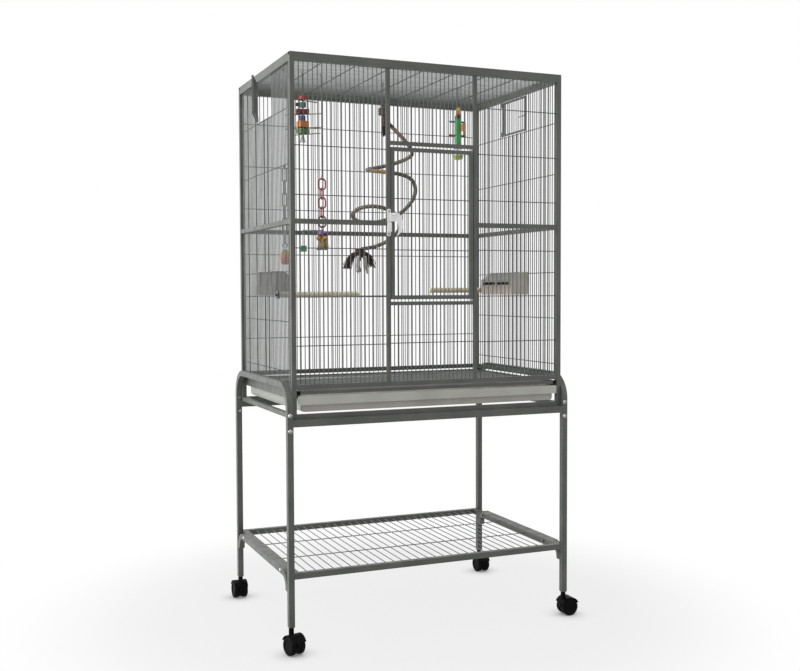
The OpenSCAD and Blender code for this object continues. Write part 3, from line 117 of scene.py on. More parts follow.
class Shader:
    """A material's node tree, with short calls for the nodes used here."""

    def __init__(self, name):
        self.material = bpy.data.materials.new(name)
        self.material.use_nodes = True
        self.tree = self.material.node_tree
        self.surface = self.tree.nodes["Principled BSDF"]
        self.place = self.new("ShaderNodeTexCoord").outputs["Object"]

    def link(self, source, target):
        self.tree.links.new(source, target)

    def new(self, kind, **settings):
        return add(self.tree, kind, **settings)

    def along(self, axis):
        """Place along one axis, in metres."""
        split = self.new("ShaderNodeSeparateXYZ")
        self.link(self.place, split.inputs[0])
        return split.outputs[axis]

    def noise(self, scale, detail=3.0, stretch=(1, 1, 1)):
        """Noise between 0 and 1 in object space; scale counts its features in a metre."""
        mapping = self.new("ShaderNodeMapping")
        mapping.inputs["Scale"].default_value = stretch
        self.link(self.place, mapping.inputs["Vector"])
        made = self.new("ShaderNodeTexNoise")
        made.inputs["Scale"].default_value = scale
        made.inputs["Detail"].default_value = detail
        self.link(mapping.outputs["Vector"], made.inputs["Vector"])
        return made.outputs["Fac"]

    def ramp(self, factor, stops):
        """Colour that follows a factor; each stop is a place between 0 and 1 and its colour."""
        made = self.new("ShaderNodeValToRGB")
        points = made.color_ramp.elements
        for index, (where, colour) in enumerate(stops):
            point = points[index] if index < NEW_STOPS else points.new(where)
            point.position, point.color = where, colour
        self.link(factor, made.inputs["Fac"])
        return made.outputs["Color"]

    def patches(self, factor, first, second):
        """Patchy tone between two colours."""
        return self.ramp(factor, list(zip(PATCH_STOPS, (first, second))))

    def scaled(self, factor, low, high, span=NOISE_SPAN):
        """A factor whose span is stretched to run from low to high."""
        made = self.new("ShaderNodeMapRange")
        for name, value in zip(RANGE_SOCKETS, (*span, low, high)):
            made.inputs[name].default_value = value
        self.link(factor, made.inputs["Value"])
        return made.outputs["Result"]

    def mixed(self, factor, first, second):
        """The first colour where factor is 0, and the second where it is 1."""
        made = self.new("ShaderNodeMix", data_type="RGBA")
        for index, value in ((MIX_FACTOR, factor), (MIX_FIRST, first), (MIX_SECOND, second)):
            if isinstance(value, bpy.types.NodeSocket):
                self.link(value, made.inputs[index])
            else:
                made.inputs[index].default_value = value
        return made.outputs[MIX_RESULT]

    def shaded(self, colour, level):
        """A colour whose brightness is multiplied by level."""
        made = self.new("ShaderNodeHueSaturation")
        self.link(colour, made.inputs["Color"])
        self.link(level, made.inputs["Value"])
        return made.outputs["Color"]

    def inside(self, ranges):
        """1 inside a box given as {"X": (low, high), ...} in metres, else 0."""
        mask = None
        for axis, (low, high) in ranges.items():
            test = self.new("ShaderNodeMath", operation="COMPARE")
            self.link(self.along(axis), test.inputs[0])
            test.inputs[1].default_value = (low + high) / 2
            test.inputs[2].default_value = (high - low) / 2
            if mask is None:
                mask = test.outputs[0]
                continue
            both = self.new("ShaderNodeMath", operation="MULTIPLY")
            self.link(mask, both.inputs[0])
            self.link(test.outputs[0], both.inputs[1])
            mask = both.outputs[0]
        return mask

    def bump(self, factor, height, strength=1.0):
        """Relief of the given height in metres."""
        made = self.new("ShaderNodeBump")
        made.inputs["Distance"].default_value = height
        made.inputs["Strength"].default_value = strength
        self.link(factor, made.inputs["Height"])
        self.link(made.outputs["Normal"], self.surface.inputs["Normal"])

    def fixed(self, **values):
        for name, value in values.items():
            self.surface.inputs[name.replace("_", " ")].default_value = value

    def colour(self, source):
        self.link(source, self.surface.inputs["Base Color"])

    def rough(self, source):
        self.link(source, self.surface.inputs["Roughness"])

    def gloss_and_grain(self, rough, gloss, grain, relief):
        """Gloss uneven between two roughness values, and a fine relief in metres."""
        self.rough(self.scaled(self.noise(gloss, GLOSS_DETAIL), *rough))
        self.bump(self.noise(grain, GRAIN_DETAIL), relief)


def dress(node, shader):
    """Gives a CAD node one material."""
    slots = NODES[node].data.materials
    slots.clear()
    slots.append(shader.material)


def middle(node, axis):
    """Middle of a node's box along an axis, counted from 0 for X."""
    low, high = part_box(node)
    return (low[axis] + high[axis]) / 2


# Finishes that follow the record's material slots

def coated(name, base, worn, rough, grain, relief, metal=0.0, patch=14.0):
    """Painted, plated or moulded surface: patchy tone, uneven gloss and a fine grain."""
    shader = Shader(name)
    shader.colour(shader.patches(shader.noise(patch, PATCH_DETAIL), base, worn))
    shader.gloss_and_grain(rough, patch * GLOSS_TO_PATCH, grain, relief)
    shader.fixed(Metallic=metal)
    return shader


def wood(name, pale, dark, stretch):
    """Wood with its grain along the axis whose stretch is small."""
    shader = Shader(name)
    grain = shader.noise(scale=240.0, detail=5.0, stretch=stretch)
    shader.colour(shader.ramp(grain, [(0.35, dark), (0.62, pale)]))
    shader.rough(shader.scaled(grain, low=0.62, high=0.48))
    shader.bump(grain, height=0.0003, strength=0.6)
    return shader


WIRE_COAT = {"rough": (0.36, 0.55), "grain": 1800.0, "relief": 0.00008, "patch": 30.0}
SLOT_LOOKS = {
    "frame_paint": coated(
        "frame_paint", PAINT, PAINT_WORN, rough=(0.34, 0.52), grain=1500.0, relief=0.00012),
    "wire_paint": coated("wire_paint", WIRE, WIRE_WORN, **WIRE_COAT),
    "insert_steel": coated(
        "insert_steel", STEEL_DULL, STEEL, rough=(0.35, 0.5), grain=1200.0, relief=0.00006, metal=1.0),
    "zinc": coated(
        "zinc", STEEL_DULL, STEEL, rough=(0.24, 0.4), grain=1600.0, relief=0.00005, metal=1.0, patch=60.0),
    "black_plastic": coated(
        "black_plastic", BLACK, BLACK_DULL, rough=(0.36, 0.56), grain=1400.0, relief=0.0001, patch=40.0),
    "wheel_plastic": coated(
        "wheel_plastic", WHEEL, WHEEL_DULL, rough=(0.42, 0.64), grain=900.0, relief=0.00016, patch=55.0),
    "latch_plastic": coated(
        "latch_plastic", LATCH, LATCH_DULL, rough=(0.3, 0.42), grain=1500.0, relief=0.00006, patch=50.0),
    "perch_wood": wood("perch_wood", WOOD, WOOD_DARK, stretch=(0.06, 1, 1)),
}
for slot in ("black_plastic", "wheel_plastic"):
    SLOT_LOOKS[slot].fixed(Specular_IOR_Level=0.06)
for part in frame["record"]["subparts"]:
    if part["material_slot"] in SLOT_LOOKS:
        dress(part["node"], SLOT_LOOKS[part["material_slot"]])


# Nodes with a finish of their own

# Left wall and grate wires: a lit copy of the wire paint, painted light
wire_with_painted_light = coated("side_wire_painted_light", WIRE_PAINTED_LIGHT, WIRE_WORN_PAINTED_LIGHT, **WIRE_COAT)
dress("left_wires", wire_with_painted_light)
dress("grate_wires", wire_with_painted_light)
dress("latch_pivot", SLOT_LOOKS["latch_plastic"])
dress("perch_fittings", coated(
    "dull_steel", TOY_WIRE, TOY_WIRE_DULL, rough=(0.4, 0.55), grain=1600.0, relief=0.00005, patch=60.0))
dress("ball_toy_links", coated(
    "chain_grey", CHAIN_GREY, CHAIN_GREY_DULL, rough=(0.22, 0.36), grain=700.0, relief=0.00008, patch=50.0))

SKIN = 0.001  # how far a mask reaches past the face that it covers


def feeder_look(node, base, dull, front):
    """Moulded feeder plastic whose front face has its own tone."""
    shader = Shader(node + "_plastic")
    front_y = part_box(node)[0][1]
    plastic = shader.patches(shader.noise(18.0, PATCH_DETAIL), base, dull)
    face = shader.inside({"Y": (front_y - SKIN, front_y + SKIN)})
    shader.colour(shader.mixed(face, plastic, front))
    shader.gloss_and_grain(rough=(0.28, 0.4), gloss=47.0, grain=1300.0, relief=0.00008)
    dress(node, shader)


feeder_look("left_feeder_tub", FEEDER, FEEDER_DULL, FEEDER_FRONT)
feeder_look("left_feeder_hood", FEEDER, FEEDER_DULL, FEEDER_FRONT)
feeder_look("right_feeder_tub", PINKISH, PINKISH_DULL, RIGHT_FRONT)
feeder_look("right_feeder_hood", FEEDER, FEEDER_DULL, RIGHT_FRONT)

# Hangers of the toys and the rope: bright bells under dull wires
WIRE_HEIGHTS = (1.44, 1.6)
hanger = Shader("hanger_steel")
hanger_patch = hanger.noise(60.0, GLOSS_DETAIL)
hanger.colour(hanger.mixed(
    hanger.inside({"Z": WIRE_HEIGHTS}),
    hanger.patches(hanger_patch, STEEL_DULL, STEEL),
    hanger.patches(hanger_patch, TOY_WIRE, TOY_WIRE_DULL)))
hanger.gloss_and_grain(rough=(0.24, 0.4), gloss=160.0, grain=1600.0, relief=0.00005)
hanger.fixed(Metallic=1.0)
for node in ("block_toy_wire", "bead_toy_wire", "rope_fittings"):
    dress(node, hanger)

# Roof: bars painted paler towards the front, a painted light where light falls through between them, and
# darker towards the rear, a painted shade, over dark cross wires
CROSS_DEPTH = 0.00255  # height that the cross wires take, from the roof's underside
roof = Shader("roof_wire_painted_light")
roof_low, roof_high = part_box("roof_wires")
roof_share = roof.scaled(roof.along("Y"), 0.0, 1.0, span=(roof_low[1], roof_high[1]))
bar_painted_light = roof.ramp(roof_share, [(0.0, ROOF_LIT_FRONT), (0.5, ROOF_HALF_LIT_MIDDLE), (0.95, ROOF_SHADED_REAR)])
cross_wires = roof.inside({"Z": (roof_low[2] - SKIN, roof_low[2] + CROSS_DEPTH)})
bar_level = roof.scaled(roof.noise(60.0, stretch=(0.3, 1, 1)), low=0.7, high=1.3)
roof.colour(roof.shaded(roof.mixed(cross_wires, bar_painted_light, ROOF_CROSS), bar_level))
roof.gloss_and_grain(rough=(0.36, 0.55), gloss=30.0, grain=1800.0, relief=0.00008)
dress("roof_wires", roof)

# Tray: a folded lip over a browner pan, with its left end painted darker, a painted shade against the left
# lamp
LIP_DEPTH, SHADED_END_WIDTH = 0.002, 0.012
tray = Shader("tray_paint")
tray_left, tray_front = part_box("tray")[0][:2]
tray_patch = tray.noise(7.0, PATCH_DETAIL)
lip = tray.inside({"Y": (tray_front - SKIN, tray_front + LIP_DEPTH)})
# The left end strip, which takes the painted shade
end = tray.inside({"X": (tray_left - SKIN, tray_left + SHADED_END_WIDTH)})
pan = tray.mixed(end, tray.patches(tray_patch, TRAY, TRAY_DULL), TRAY_END_PAINTED_SHADE)
tray.colour(tray.mixed(lip, pan, tray.patches(tray_patch, LIP, LIP_DULL)))
tray.gloss_and_grain(rough=(0.36, 0.5), gloss=18.0, grain=1100.0, relief=0.00012)
dress("tray", tray)


# Toys: each solid is coloured by its place

def regions(shader, default, places):
    """Colours by place: each entry of places is a colour and the box it fills, over a default colour."""
    colour = default
    for tint, ranges in places:
        colour = shader.mixed(shader.inside(ranges), colour, tint)
    wear = shader.scaled(shader.noise(60.0, GLOSS_DETAIL), low=0.84, high=1.16)
    shader.colour(shader.shaded(colour, wear))


def under(height, first, last):
    """The band from first to last, in millimetres under a height."""
    return {"Z": (height - last * MM, height - first * MM)}


blocks = Shader("block_wood")
block_left, block_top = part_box("block_toy_blocks")[0][0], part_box("block_toy_blocks")[1][2]
BLOCK_BANDS = [  # colour, top and foot of each band, in millimetres under the top of the stack
    (RED, -1, 10.6), (DEEP_RED, 10.6, 14.5), (TEAL, 17, 32), (DEEP_RED, 37, 49.5), (STICK, 49.5, 53.5),
    (BLUE, 54.5, 69.5), (ORANGE, 70, 87.9), (DEEP_RED, 87.9, 91.2), (GREEN, 91.2, 105.1),
    (STICK, 105.1, 110),
]
KNOB_BAND, KNOB_EDGE = (16, 34), 10.25  # the black knob lies further than its edge from the wire
block_places = [(tint, under(block_top, top, foot)) for tint, top, foot in BLOCK_BANDS]
block_places.append((BLACKISH, {
    **under(block_top, *KNOB_BAND), "X": (block_left, middle("block_toy_wire", 0) - KNOB_EDGE * MM)}))
regions(blocks, RED, block_places)
block_grain = blocks.noise(420.0, GLOSS_DETAIL, stretch=(0.25, 1, 1))
blocks.rough(blocks.scaled(block_grain, low=0.42, high=0.6))
blocks.bump(block_grain, height=0.0003, strength=0.5)
dress("block_toy_blocks", blocks)

beads = Shader("bead_plastic")
BEAD_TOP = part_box("bead_toy_beads")[1][2]
BEAD_X, BEAD_Y = middle("bead_toy_wire", 0), middle("bead_toy_wire", 1)
BEAD_BANDS = [  # colour, top and foot of each band, in millimetres under the top bead
    (YELLOW, -1, 11), (ORANGE, 11, 22), (DEEP_RED, 22, 26.8), (BLACKISH, 26.8, 35.8), (LEAF, 35.8, 117.4),
    (PURPLE, 117.4, 128), (LIME, 140, 160),
]
TALL_BEAD_R, ARM_REACH = 10.2, 40  # the arms lie between these distances from the wire
LEFT_ARM, RIGHT_ARM, SPINDLE = (-ARM_REACH, -TALL_BEAD_R), (TALL_BEAD_R, ARM_REACH), (19.5, 29.5)
ARM_BANDS = [  # colour, top and foot of the band, and its stretch beside the wire
    (SKY, 40, 48, LEFT_ARM), (SKY, 40, 47.2, RIGHT_ARM), (RED, 81, 90, LEFT_ARM), (RED, 82.2, 90, RIGHT_ARM),
    (YELLOW, 47.2, 82.2, SPINDLE),
]
SIDE_BEAD_BAND, SIDE_BEAD_X, SIDE_BEAD_Y = (52, 74), (4.0, 17.0), (-19.0, -6.6)


def beside(start, stretch):
    """A stretch in millimetres from a place."""
    return tuple(start + distance * MM for distance in stretch)


bead_places = [(tint, under(BEAD_TOP, top, foot)) for tint, top, foot in BEAD_BANDS]
bead_places += [
    (tint, {**under(BEAD_TOP, top, foot), "X": beside(BEAD_X, stretch)})
    for tint, top, foot, stretch in ARM_BANDS]
bead_places.append((ORANGE, {
    **under(BEAD_TOP, *SIDE_BEAD_BAND),
    "X": beside(BEAD_X, SIDE_BEAD_X), "Y": beside(BEAD_Y, SIDE_BEAD_Y)}))
regions(beads, LEAF, bead_places)
beads.gloss_and_grain(rough=(0.2, 0.36), gloss=45.0, grain=900.0, relief=0.00008)
beads.fixed(Coat_Weight=0.25, Coat_Roughness=0.2)
dress("bead_toy_beads", beads)

# Ball: a fruit's tones from foot to top, with uneven edges, and a seedy skin
FRUIT_HEIGHT, FRUIT_UNEVEN, SEED_SCALE = 0.044, 0.22, 190.0
FRUIT_STOPS = (0.12, 0.5, 0.72, 0.95)
fruit = Shader("ball_plastic")
fruit_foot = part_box("ball_toy_ball")[0][2]
fruit_share = fruit.scaled(fruit.along("Z"), 0.0, 1.0, span=(fruit_foot, fruit_foot + FRUIT_HEIGHT))
fruit_edge = fruit.new("ShaderNodeMath", operation="MULTIPLY_ADD")
fruit.link(fruit.noise(110.0), fruit_edge.inputs[0])
fruit_edge.inputs[1].default_value = FRUIT_UNEVEN
fruit.link(fruit_share, fruit_edge.inputs[2])
fruit.colour(fruit.ramp(fruit_edge.outputs[0], [*zip(FRUIT_STOPS, FRUIT_TONES), (1.0, CHAIN_GREY)]))
fruit.rough(fruit.scaled(fruit.noise(70.0), low=0.3, high=0.45))
fruit_seeds = fruit.new("ShaderNodeTexVoronoi", feature="F1")
fruit_seeds.inputs["Scale"].default_value = SEED_SCALE
fruit.link(fruit.place, fruit_seeds.inputs["Vector"])
fruit.bump(fruit_seeds.outputs["Distance"], height=0.0008, strength=0.6)
dress("ball_toy_ball", fruit)

# Link toy: red links over a cluster of purple, dark red and gold, a tuft, and a mint cube on its left
links = Shader("chain_plastic")
link_low, link_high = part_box("chain_toy")
LINK_INSET = 0.017  # from the toy's right edge to its chain
LINK_X, LINK_FOOT = link_high[0] - LINK_INSET, link_low[2]
CUBE_TOP, TUFT_FOOT, TUFT_TOP, GOLD_TOP, PURPLE_FOOT = 17.0, 13.2, 38.4, 45, 51
CLUSTER_TOP, DARK_FOOT, DARK_TOP, CHAIN_TOP = 67.5, 68.5, 104.0, 222.0
CUBE_EDGE, GOLD_DEPTH = 30.0, 13


def link_band(low, high):
    """The band between two heights in millimetres over the toy's foot."""
    return {"Z": (LINK_FOOT + low * MM, LINK_FOOT + high * MM)}


cube_side = {"X": (link_low[0], LINK_X - CUBE_EDGE * MM)}
regions(links, TOY_WIRE, [
    (RED, link_band(DARK_TOP, CHAIN_TOP)), (DEEP_RED, link_band(DARK_FOOT, DARK_TOP)),
    (RAFFIA_DARK, link_band(TUFT_FOOT, TUFT_TOP)), (PURPLE, link_band(PURPLE_FOOT, CLUSTER_TOP)),
    (DEEP_RED, link_band(TUFT_TOP, PURPLE_FOOT)),
    (GOLD, {**link_band(TUFT_TOP, GOLD_TOP), "Y": (link_low[1], link_low[1] + GOLD_DEPTH * MM)}),
    (STEEL_DULL, {**link_band(CUBE_TOP, CLUSTER_TOP), **cube_side}),
    (MINT, {**link_band(-1, CUBE_TOP), **cube_side}),
])
links.gloss_and_grain(rough=(0.16, 0.32), gloss=60.0, grain=800.0, relief=0.00008)
links.fixed(Coat_Weight=0.3, Coat_Roughness=0.15)
dress("chain_toy", links)


# Rope perch: the route repeats the source's formula, in metres

SPIRAL_R, SPIRAL_DROP, ROPE_D = 0.098, 0.267, 0.012
ROPE_X, ROPE_Y, ROPE_TOP_Z, ROPE_NECK = -0.04001, 0.0, 1.47035, 0.015
LEAD_SHARE, LEAD_DROP, LEAD_SHIFT = 0.12, 0.092, 0.024
ROPE_TURNS, ROPE_END_TURN = 2.54, 92
ROPE_SHIFT, SHIFT_SPAN = -0.054, (0.55, 0.82)
FIRST_R_SHARE, WIDEN_SPAN = 0.71, (0.46, 0.58)
TAPER_SHARE, TAPER_SPAN = 0.25, (0.45, 1)
SAG_SHARE = 0.5
TILT_SHARES, TILT_SPANS = (0.1, 0.51, 0.42), ((0.3, 0.6), (0.65, 1))
ROPE_RINGS, NECK_STEPS, TAIL_BEND, TAIL_STEPS = 60, 6, 0.018, 6
FINE = 9  # rings of the mesh for each ring of the route


def smooth(value):
    """A step from 0 to 1 with soft ends."""
    held = min(1.0, max(0.0, value))
    return held * held * (3 - 2 * held)


def span_share(t, span):
    """How far t is through a span, from 0 to 1 with soft ends."""
    return smooth((t - span[0]) / (span[1] - span[0]))


def spiral(t):
    """Point on the rope's axis, for t from 0 at the top to 1 at the last turn's end."""
    angle = math.radians(ROPE_END_TURN - 360 * ROPE_TURNS * (1 - t))
    lead = span_share(t, (0, LEAD_SHARE))
    radius = SPIRAL_R * lead * (1 - TAPER_SHARE * span_share(t, TAPER_SPAN))
    radius *= FIRST_R_SHARE + (1 - FIRST_R_SHARE) * span_share(t, WIDEN_SPAN)
    drop = LEAD_DROP * lead + SPIRAL_DROP * ((1 - SAG_SHARE) * t + SAG_SHARE * smooth(t))
    tilt = TILT_SHARES[0]
    for first, last, span in zip(TILT_SHARES, TILT_SHARES[1:], TILT_SPANS):
        tilt += (last - first) * span_share(t, span)
    return Vector((
        ROPE_X + LEAD_SHIFT * lead + ROPE_SHIFT * span_share(t, SHIFT_SPAN) + radius * math.cos(angle),
        ROPE_Y + radius * math.sin(angle),
        ROPE_TOP_Z - drop - tilt * radius * math.sin(angle)))


tail_way = (spiral(1) - spiral(1 - 1 / ROPE_RINGS)).normalized()


def tail(u):
    """The bend from the spiral's end down into the lower cap."""
    start = spiral(1)
    knee = start + TAIL_BEND * tail_way
    end = knee - Vector((0, 0, TAIL_BEND))
    return (1 - u) ** 2 * start + 2 * u * (1 - u) * knee + u * u * end


rope_start = spiral(0) + Vector((0, 0, ROPE_NECK))
rope_line = [rope_start + (spiral(0) - rope_start) * (i / NECK_STEPS) for i in range(NECK_STEPS)]
rope_line += [spiral(i / (ROPE_RINGS * FINE)) for i in range(ROPE_RINGS * FINE + 1)]
rope_line += [tail(i / (TAIL_STEPS * FINE)) for i in range(1, TAIL_STEPS * FINE + 1)]
rope_end = rope_line[-1]


# Tubes along a line, from which the rope, the bindings, the tassels and the raffia are made

def frames(line):
    """Point, two cross directions and run length along a line, turned as little as possible."""
    across, run, out = Vector((1, 0, 0)), 0.0, []
    for i, point in enumerate(line):
        way = (line[min(i + 1, len(line) - 1)] - line[max(i - 1, 0)]).normalized()
        across = (across - way * across.dot(way)).normalized()
        if i:
            run += (point - line[i - 1]).length
        out.append((point, across.copy(), way.cross(across), run))
    return out


def tube(line, outline):
    """Points and faces of a closed tube; outline(run, angle) is its radius."""
    points, faces = [], []
    sides = outline.sides
    for point, u, v, run in frames(line):
        for k in range(sides):
            angle = 2 * math.pi * k / sides
            points.append(point + (u * math.cos(angle) + v * math.sin(angle)) * outline(run, angle))
    for i in range(len(line) - 1):
        for k in range(sides):
            a, b = i * sides + k, i * sides + (k + 1) % sides
            faces.append((a, b, b + sides, a + sides))
    faces.append(tuple(range(sides - 1, -1, -1)))
    faces.append(tuple(range(len(points) - sides, len(points))))
    return points, faces


class Laid:
    """Outline of a rope of twisted strands."""
    sides = 30
    strands = 3
    lay = 0.034  # length in which a strand goes once round
    valley_share, strand_share = 0.80, 0.20  # of the radius, up to the valleys and from there to the crowns
    plump = 0.7  # under 1, so that the strands are full and the valleys narrow

    def __call__(self, run, angle):
        turn = self.strands * (angle - 2 * math.pi * run / self.lay) / 2
        return ROPE_D / 2 * (self.valley_share + self.strand_share * abs(math.cos(turn)) ** self.plump)


class Plain:
    """Outline of a thin yarn or strip that narrows over its length."""
    narrowing = 0.45

    def __init__(self, radius, length, sides=5):
        self.radius, self.length, self.sides = radius, length, sides

    def __call__(self, run, angle):
        return self.radius * (1 - self.narrowing * min(1.0, run / self.length))


def mesh_piece(name, points, faces, shader, body, slot):
    """A smooth mesh that rides on a body and wears the given shader; slot is not used."""
    mesh = bpy.data.meshes.new(name)
    mesh.from_pydata(points, [], faces)
    mesh.validate()
    mesh.polygons.foreach_set("use_smooth", [True] * len(mesh.polygons))
    piece = bpy.data.objects.new(name, mesh)
    scene.collection.objects.link(piece)
    mesh.materials.append(shader.material)
    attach(piece, body)
    return piece


# Rope: speckled cotton, with three tinted stretches

ROPE_STOPS, TINT_SPAN = (0.36, 0.46, 0.56, 0.66), (0.42, 0.54)
ROPE_PLACES = [  # colour and the stretch of the rope that it tints, in metres
    (TASSEL_DARK, {"Z": (1.432, 1.49)}), (ROPE_PINK, {"Z": (1.385, 1.432)}),
    (ROPE_TAN, {"X": (-0.084, -0.03), "Z": (1.29, 1.36), "Y": (-0.12, 0.0)}),
]
SHEEN = {"Sheen_Weight": 0.3, "Sheen_Roughness": 0.5}
cotton = Shader("rope_cotton")
speckle = cotton.noise(420.0, detail=6.0)
rope_colour = cotton.ramp(speckle, list(zip(ROPE_STOPS, ROPE_TONES)))
for tint, stretch in ROPE_PLACES:
    tinted = cotton.mixed(cotton.scaled(speckle, 0.0, 1.0, span=TINT_SPAN), rope_colour, tint)
    rope_colour = cotton.mixed(cotton.inside(stretch), rope_colour, tinted)
cotton.colour(rope_colour)
cotton.rough(cotton.scaled(speckle, low=0.8, high=0.95))
cotton.bump(cotton.noise(1500.0), height=0.0006, strength=0.7)
cotton.fixed(**SHEEN)

rope = mesh_piece("rope_perch_laid", *tube(rope_line, Laid()), cotton, "rope", "rope_cotton")
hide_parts("rope_perch")


# Bindings and tassels of yarn at the rope's ends

def spun(name):
    """Yarn without its colour, and the noise that the colour follows."""
    shader = Shader(name)
    fibres = shader.noise(160.0, GLOSS_DETAIL)
    shader.rough(shader.scaled(fibres, low=0.75, high=0.92))
    shader.bump(shader.noise(2200.0, GRAIN_DETAIL), height=0.0003)
    shader.fixed(**SHEEN)
    return shader, fibres


yarn, yarn_fibres = spun("tassel_yarn")
yarn.colour(yarn.ramp(yarn_fibres, [(0.36, TASSEL_DARK), (0.66, TASSEL_RED)]))

pale, pale_fibres = spun("pale_yarn")
pale.colour(pale.ramp(pale_fibres, [(0.36, PALE_YARN_DULL), (0.64, PALE_YARN)]))

PINK_HEIGHTS, DARK_HEIGHTS = (1.435, 1.466), (1.3, 1.435)  # of the upper tassel, under its olive binding
olive, olive_fibres = spun("olive_yarn")
olive_colour = olive.ramp(olive_fibres, [(0.36, OLIVE_DARK), (0.64, OLIVE)])
pink_and_dark = olive.ramp(olive_fibres, [(0.46, TASSEL_DARK), (0.6, ROPE_PINK)])
for tint, heights in ((pink_and_dark, PINK_HEIGHTS), (TASSEL_DARK, DARK_HEIGHTS)):
    olive_colour = olive.mixed(olive.inside({"Z": heights}), olive_colour, tint)
olive.colour(olive_colour)

WINDING_STEPS, WINDING_SIDES = 24, 10
WINDING_RISE_SHARE = 0.94  # rise in a turn, as a share of the cord's thickness
UNTAPERED = 1000.0  # a length so great that a cord doesn't narrow


def whipping(centre, inner, radius, turns):
    """Cord wound round a cap, one turn beside the other."""
    rise = 2 * radius * WINDING_RISE_SHARE
    line = []
    for i in range(turns * WINDING_STEPS + 1):
        angle = 2 * math.pi * i / WINDING_STEPS
        line.append(Vector(centre) + Vector((
            (inner + radius) * math.cos(angle), (inner + radius) * math.sin(angle),
            rise * (i / WINDING_STEPS - turns / 2))))
    return tube(line, Plain(radius, UNTAPERED, WINDING_SIDES))


YARN_STEPS = 9
FAN_SHARES, ROOT_SHARES = (0.2, 1.0), (0.5, 3.0)  # of the fan, and of the yarn's radius
WAVE_SIZES, WAVE_RATE, WAVE_TURN = (0.0006, 0.0022), 7, 1.6
FAN_POWER, FALL_SHARES = 0.7, (0.35, 0.65)  # steady and growing share of the way down


def bunch(root, fan, lengths, count, radius, lean, seed):
    """Yarns that leave one place, fan out and hang."""
    draw = random.Random(seed)
    points, faces = [], []
    for _ in range(count):
        turn, out = draw.uniform(0, 2 * math.pi), draw.uniform(*FAN_SHARES) * fan
        length = draw.uniform(*lengths)
        wave, phase = draw.uniform(*WAVE_SIZES), draw.uniform(0, 2 * math.pi)
        outwards = Vector((math.cos(turn), math.sin(turn), 0))
        sideways = Vector((math.cos(turn + WAVE_TURN), math.sin(turn + WAVE_TURN), 0))
        start = Vector(root) + outwards * radius * draw.uniform(*ROOT_SHARES)
        side = outwards * out + Vector(lean)
        line = []
        for i in range(YARN_STEPS + 1):
            t = i / YARN_STEPS
            sway = sideways * wave * math.sin(phase + WAVE_RATE * t) * t
            fall = length * (FALL_SHARES[0] * t + FALL_SHARES[1] * t * t)
            line.append(start + side * (t ** FAN_POWER) + sway - Vector((0, 0, fall)))
        more, sheets = tube(line, Plain(radius, length))
        faces += [tuple(index + len(points) for index in face) for face in sheets]
        points += more
    return points, faces


CAP_WALL = 0.002
CAP_R = ROPE_D / 2 + CAP_WALL
YARN_R, FIRST_SEED = 0.0017, 11
WHIPPINGS = [  # name, yarn, middle, radius of the cord and its turns
    ("upper_whipping", olive, rope_start + Vector((0, 0, -0.004)), 0.0034, 3),
    ("lower_whipping", yarn, rope_end + Vector((0.005, 0, 0.008)), 0.0042, 3),
]
TASSELS = [  # name, yarn, root, offset of the root, fan, lengths, count, lean
    ("upper_tassel", olive, rope_start, (-0.004, -0.012, -0.010), 0.005, (0.058, 0.07), 24, (0, -0.002, 0)),
    ("left_tassel", yarn, rope_end, (-0.004, 0, 0.010), 0.010, (0.038, 0.052), 60, (-0.034, 0, 0)),
    ("right_tassel", yarn, rope_end, (0.014, 0, 0.010), 0.010, (0.034, 0.048), 60, (0.028, 0, 0)),
    ("left_pale_tassel", pale, rope_end, (-0.005, -0.012, -0.002), 0.004, (0.04, 0.056), 8, (-0.004, 0, 0)),
    ("right_pale_tassel", pale, rope_end, (0.014, -0.012, -0.002), 0.004, (0.04, 0.056), 8, (0.004, 0, 0)),
]
yarn_pieces = [
    mesh_piece(name, *whipping(centre, CAP_R, radius, turns), look, "rope", "rope_cotton")
    for name, look, centre, radius, turns in WHIPPINGS]
for i, (name, look, root, offset, fan, lengths, count, lean) in enumerate(TASSELS):
    strands = bunch(root + Vector(offset), fan, lengths, count, YARN_R, lean, FIRST_SEED + i)
    yarn_pieces.append(mesh_piece(name, *strands, look, "rope", "rope_cotton"))


# Raffia under the link toy

RAFFIA_FAN, RAFFIA_LENGTHS, RAFFIA_COUNT, RAFFIA_R, RAFFIA_SEED = 0.018, (0.02, 0.031), 60, 0.0012, 21
NO_LEAN = (0, 0, 0)
straw = Shader("raffia")
straw_fibres = straw.noise(140.0, GLOSS_DETAIL)
straw.colour(straw.ramp(straw_fibres, [(0.34, RAFFIA_DARK), (0.6, RAFFIA), (0.78, RAFFIA_PALE)]))
straw.rough(straw.scaled(straw_fibres, low=0.5, high=0.7))
straw.bump(straw.noise(1200.0, GRAIN_DETAIL), height=0.0002)
raffia_root = (LINK_X, middle("chain_toy", 1), LINK_FOOT + TUFT_TOP * MM)
strips = bunch(raffia_root, RAFFIA_FAN, RAFFIA_LENGTHS, RAFFIA_COUNT, RAFFIA_R, NO_LEAN, RAFFIA_SEED)
mesh_piece("raffia_tuft", *strips, straw, "link_toy", "chain_plastic")


# Floor: pale grey near the object, white further out, with a painted contact shadow right at the wheels

GROUND_HALF = 9.0
GLOW_SHARE, NEAR_GLOW, NEAR, FAR = 0.92, 0.895, 0.6, 1.2
CONTACT_REACH, CONTACT_SHADOW_DARK, CONTACT_SPAN = 0.07, 0.25, (0.2, 0.95)
ground_mesh = bpy.data.meshes.new("ground")
ground_corners = [(x * GROUND_HALF, y * GROUND_HALF, 0) for x, y in ((-1, -1), (1, -1), (1, 1), (-1, 1))]
ground_mesh.from_pydata(ground_corners, [], [(0, 1, 2, 3)])
ground = bpy.data.objects.new("ground", ground_mesh)
scene.collection.objects.link(ground)


